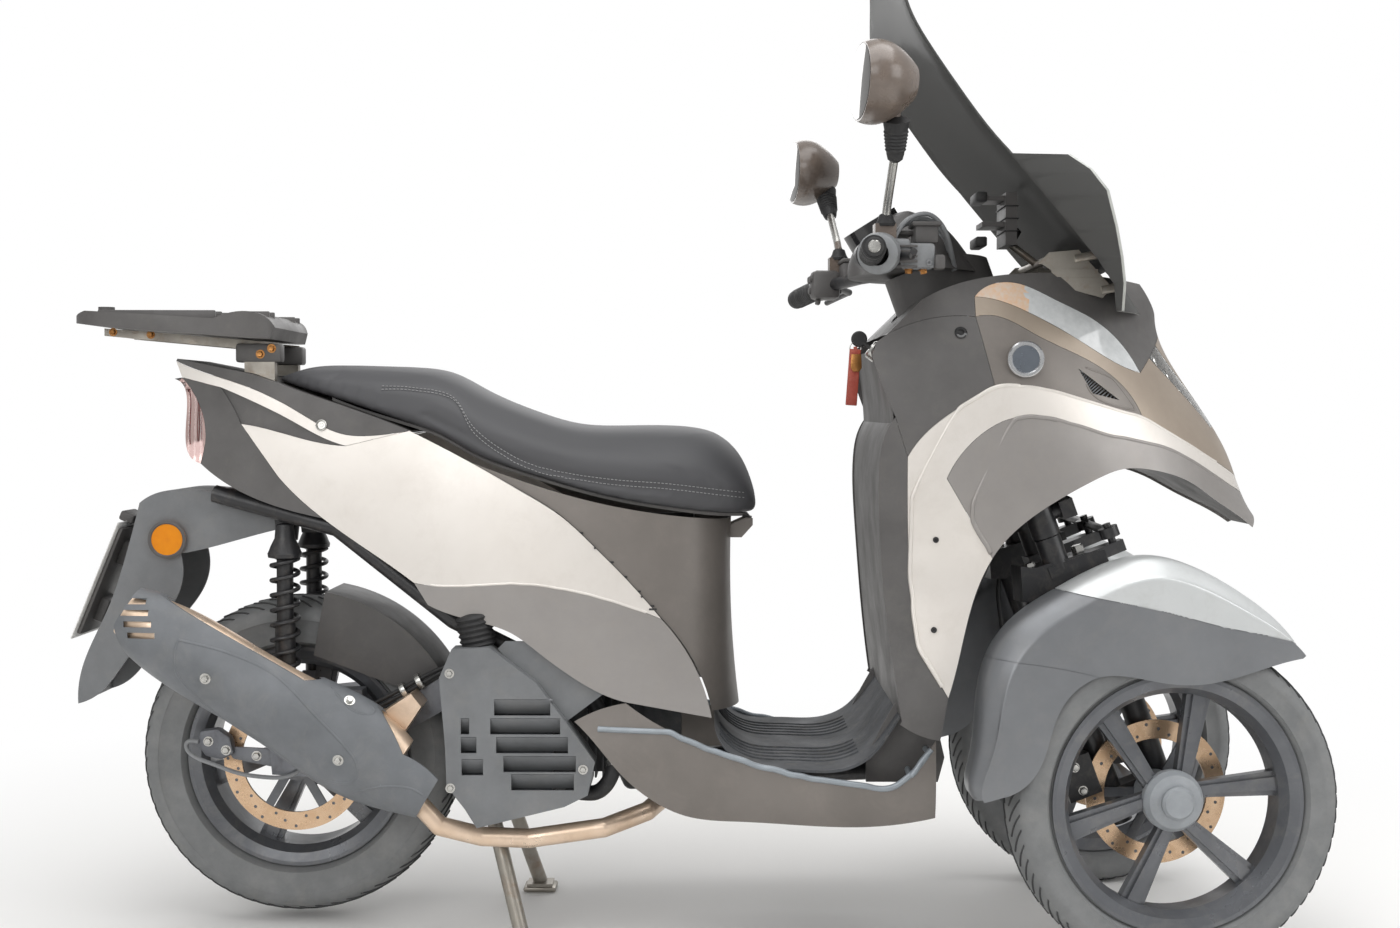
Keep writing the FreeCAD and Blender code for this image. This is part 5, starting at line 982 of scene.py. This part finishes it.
print("fork details")
for side, word in leftRight:
    lean = leanPlace(side)
    inner = -14 * side
    seals, forkBolts, forkHoses = [bmesh.new() for i in range(3)]
    for a in (43, -38):
        leg = moved(mm(a, inner, 0))
        seal = [(15, 494), (21.5, 494), (23, 498), (23, 508), (19, 512), (15.4, 514)]
        joinInto(seals, turnedPart(seal, 36, True), leg)
        addTurned(forkBolts, [(0, 642), (10, 642), (10, 650), (8, 653), (0, 653)], 6, leg)
        joinInto(forkBolts, boltPart(10, 6, 14), facing(mm(a, inner - 19 * side, 248), (0, -side, 0)))
    for s in (304, 342):
        joinInto(forkBolts, boltPart(12, 6, 15), facing(mm(-88, inner + 46 * side, s), (0, side, 0)))
    route = [(-100, 20, 352), (-112, 14, 392), (-96, 4, 452), (-78, 0, 520), (-66, 0, 580), (-50, 0, 606)]
    joinInto(forkHoses, tubePart([mm(x, inner + out * side, z) for x, out, z in route], 4))
    newPiece("forkSeals" + word, seals, softRubber, "fork_" + word, 35, lean)
    newPiece("forkBolts" + word, forkBolts, brightSteel, "fork_" + word, 35, lean)
    newPiece("forkHose" + word, forkHoses, softRubber, "fork_" + word, 35, lean)
    valve = turnedPart([(0, 0), (4, 0), (4, 6), (3, 8), (3, 20), (4, 21), (4, 26), (0, 27)], 16)
    valvePlace = wheelPlace(side) @ facing(mm(-96, -12 * side, 132), (0.55, 0.35 * side, -0.75))
    newPiece("valve" + word, valve, softRubber, "wheel_front_" + word, 35, valvePlace)

standPads = bmesh.new()
for side in (-1, 1):
    addBlock(standPads, 344, 400, side * 149 - 24, side * 149 + 24, 1, 9, 3)
newPiece("standPads", standPads, wornSteel, "stand")

print("panel edges")
edgeLook = {"band": 3.4, "arch": 3.6, "cover": 2.6}  # radius of each panel's rolled edge
bandBorder = borderOf("front_covers", [(880, v) for v in range(640, 476, -10)], (1, 0))
bandBorder += borderOf("front_covers", [(u, 340) for u in range(916, 1226, 10)], (0, 1))
bandBeads = beadAlong(bmesh.new(), bandBorder, edgeLook["band"], 2.2)
beadAlong(bandBeads, borderOf("side_covers", [(u, 660) for u in range(430, 655, 9)], (0, -1)), edgeLook["cover"],
          1.8)
newPiece("silverBeads", bandBeads, silverPaint, sharpDeg=60)
archBorder = borderOf("arch_covers", [(930, v) for v in range(550, 482, -8)], (1, 0))
archBorder += borderOf("arch_covers", [(u, 390) for u in range(962, 1232, 9)], (0, 1))
archBeads = beadAlong(bmesh.new(), archBorder, edgeLook["arch"], 2.2)
newPiece("greyBeads", archBeads, greyPaint, sharpDeg=60)
panelEdge = [(1082, 372), (1090, 392), (1110, 404), (1146, 410), (1140, 398), (1112, 378), (1082, 366)]
panelBeads = beadOn(bmesh.new(), "emblem_panels", panelEdge, 2.2, 1.2)
newPiece("panelBeads", panelBeads, panelGrey, sharpDeg=60)
clips = bmesh.new()
for hit, normal in borderOf("side_covers", [(740, v) for v in range(506, 625, 13)], (-1, 0)):
    for side in (-1, 1):
        place = facing((hit.x, -side * hit.y, hit.z), (normal.x, -side * normal.y, normal.z))
        joinInto(clips, blockPart(-6, 6, -1.5, 1.5, -1.5, 0.8, 0.5), place)
newPiece("coverClips", clips, softRubber)

print("guard and sill")
guardBeads = bmesh.new()
for pixels, radiusMm, sinkMm in (
        ([(176, 642), (226, 655), (274, 678), (313, 718), (352, 762), (348, 786), (306, 778), (262, 748),
          (208, 712), (176, 680), (172, 655), (176, 642)], 2.6, 1.4),
        ([(330, 690), (352, 684), (372, 700), (372, 716), (350, 712), (330, 690)], 2.4, 1.2),
        ([(352, 796), (380, 790), (410, 792), (430, 806)], 2.6, 1.4)):
    beadOn(guardBeads, "muffler_guard", pixels, radiusMm, sinkMm, both=False)
newPiece("guardBeads", guardBeads, wornPlastic, sharpDeg=60)
sillBorder = borderOf("floor_sills", [(u, 690) for u in range(612, 948, 8)], (0, 1))
newPiece("sillTrims", beadAlong(bmesh.new(), sillBorder, 4.6, 2.4), stripGrey, sharpDeg=60)
mat = bmesh.new()
for y in (-150, -126, -102, -78, -54, 54, 78, 102, 126, 150):
    hits = [castOn("floorboard", at(x, y, 420), (0, 0, -1)) for x in range(560, 905, 12)]
    line = [hit for hit, normal in hits if hit and normal.z > 0.5]
    if len(line) > 3:
        joinInto(mat, tubePart(line, 2.2, sides=1))
newPiece("floorRibs", mat, floorRubber, sharpDeg=60)

print("wheel well")
well = bmesh.new()
wall = [(905, 262), (1016, 262), (1026, 300), (1012, 360), (1000, 420), (975, 430), (930, 350), (905, 300)]
for side in (-1, 1):
    joinInto(well, platePart(wall, side * 176 - 2, side * 176 + 2, 1.2), upright)  # close the see-through place
newPiece("wellSides", well, blackPlastic)


print("stage")
paleFloor = bpy.data.materials.new("paleFloor")  # matt paper, which fades to pure white away from the object
tree = freshTree(paleFloor)
place = addNode(tree, "TexCoord").outputs["Object"]
middle = addNode(tree, "VectorMath", {0: place}, operation="LENGTH").outputs["Value"]
away = addNode(tree, "MapRange", {"Value": middle, "From Min": 0.7, "From Max": 2.2},
               interpolation_type="SMOOTHSTEP")
paths = addNode(tree, "LightPath")
share = addNode(tree, "Math", {0: away.outputs["Result"], 1: paths.outputs["Is Camera Ray"]},
                operation="MULTIPLY")
matte = addNode(tree, "BsdfDiffuse", {"Color": linear("#F1F0EE")})
white = addNode(tree, "Emission", {"Color": (1, 1, 1, 1), "Strength": 1.0})
mixed = addNode(tree, "MixShader", {0: share.outputs["Value"], 1: matte.outputs["BSDF"],
                                    2: white.outputs["Emission"]})
addNode(tree, "OutputMaterial", {"Surface": mixed.outputs["Shader"]})
floorBm = bmesh.new()
bmesh.ops.create_grid(floorBm, x_segments=2, y_segments=2, size=30)
floorMesh = bpy.data.meshes.new("floor")
floorBm.to_mesh(floorMesh)
floorBm.free()
floor = bpy.data.objects.new("floor", floorMesh)
floorMesh.materials.append(paleFloor)
scene.collection.objects.link(floor)

world = bpy.data.worlds.new("studio")
scene.world = world
tree = freshTree(world)
paths = addNode(tree, "LightPath")
plain = addNode(tree, "Background", {"Color": linear("#FFFFFF"), "Strength": 0.55})
bright = addNode(tree, "Background", {"Color": (1, 1, 1, 1), "Strength": 1.0})
either = addNode(tree, "Math", {0: paths.outputs["Is Camera Ray"], 1: paths.outputs["Is Transmission Ray"]},
                 operation="MAXIMUM")
mixed = addNode(tree, "MixShader", {0: either.outputs["Value"], 1: plain.outputs["Background"],
                                    2: bright.outputs["Background"]})
addNode(tree, "OutputWorld", {"Surface": mixed.outputs["Shader"]})


def softBox(name, place, target, size, power):
    light = bpy.data.lights.new(name, "AREA")
    light.shape = "RECTANGLE"
    light.size, light.size_y = size
    light.energy = power
    lamp = bpy.data.objects.new(name, light)
    lamp.location = place
    lamp.rotation_euler = (Vector(target) - Vector(place)).to_track_quat("-Z", "Y").to_euler()
    scene.collection.objects.link(lamp)


softBox("overhead", (0.2, -0.6, 3.2), (0.0, 0.0, 0.4), (3.4, 2.4), 62)
softBox("cameraSide", (-1.4, -3.2, 1.9), (0.1, 0.0, 0.6), (2.2, 1.8), 34)
softBox("frontSide", (2.6, -1.2, 1.6), (0.4, 0.0, 0.6), (1.6, 1.6), 20)
softBox("farSide", (0.2, 3.0, 2.2), (0.0, 0.0, 0.6), (2.6, 1.6), 26)

camera = bpy.data.cameras.new("photoCamera")
camera.sensor_width, camera.sensor_fit = 36.0, "HORIZONTAL"
camera.lens = 36 * photoView["focalPx"] / photoView["framePx"][0]
camera.clip_start = 0.05
cameraObject = bpy.data.objects.new("photoCamera", camera)
yaw, pitch, roll = photoView["yaw"], photoView["pitch"], photoView["roll"]
forward = Vector((sin(yaw) * cos(pitch), cos(yaw) * cos(pitch), sin(pitch)))
right = Vector((cos(yaw), -sin(yaw), 0))
up = right.cross(forward)
turn = Matrix((right, up, -forward)).transposed() @ Matrix.Rotation(roll, 3, "Z")
cameraObject.matrix_world = moved(at(*photoView["place"])) @ turn.to_4x4()
scene.collection.objects.link(cameraObject)
scene.camera = cameraObject
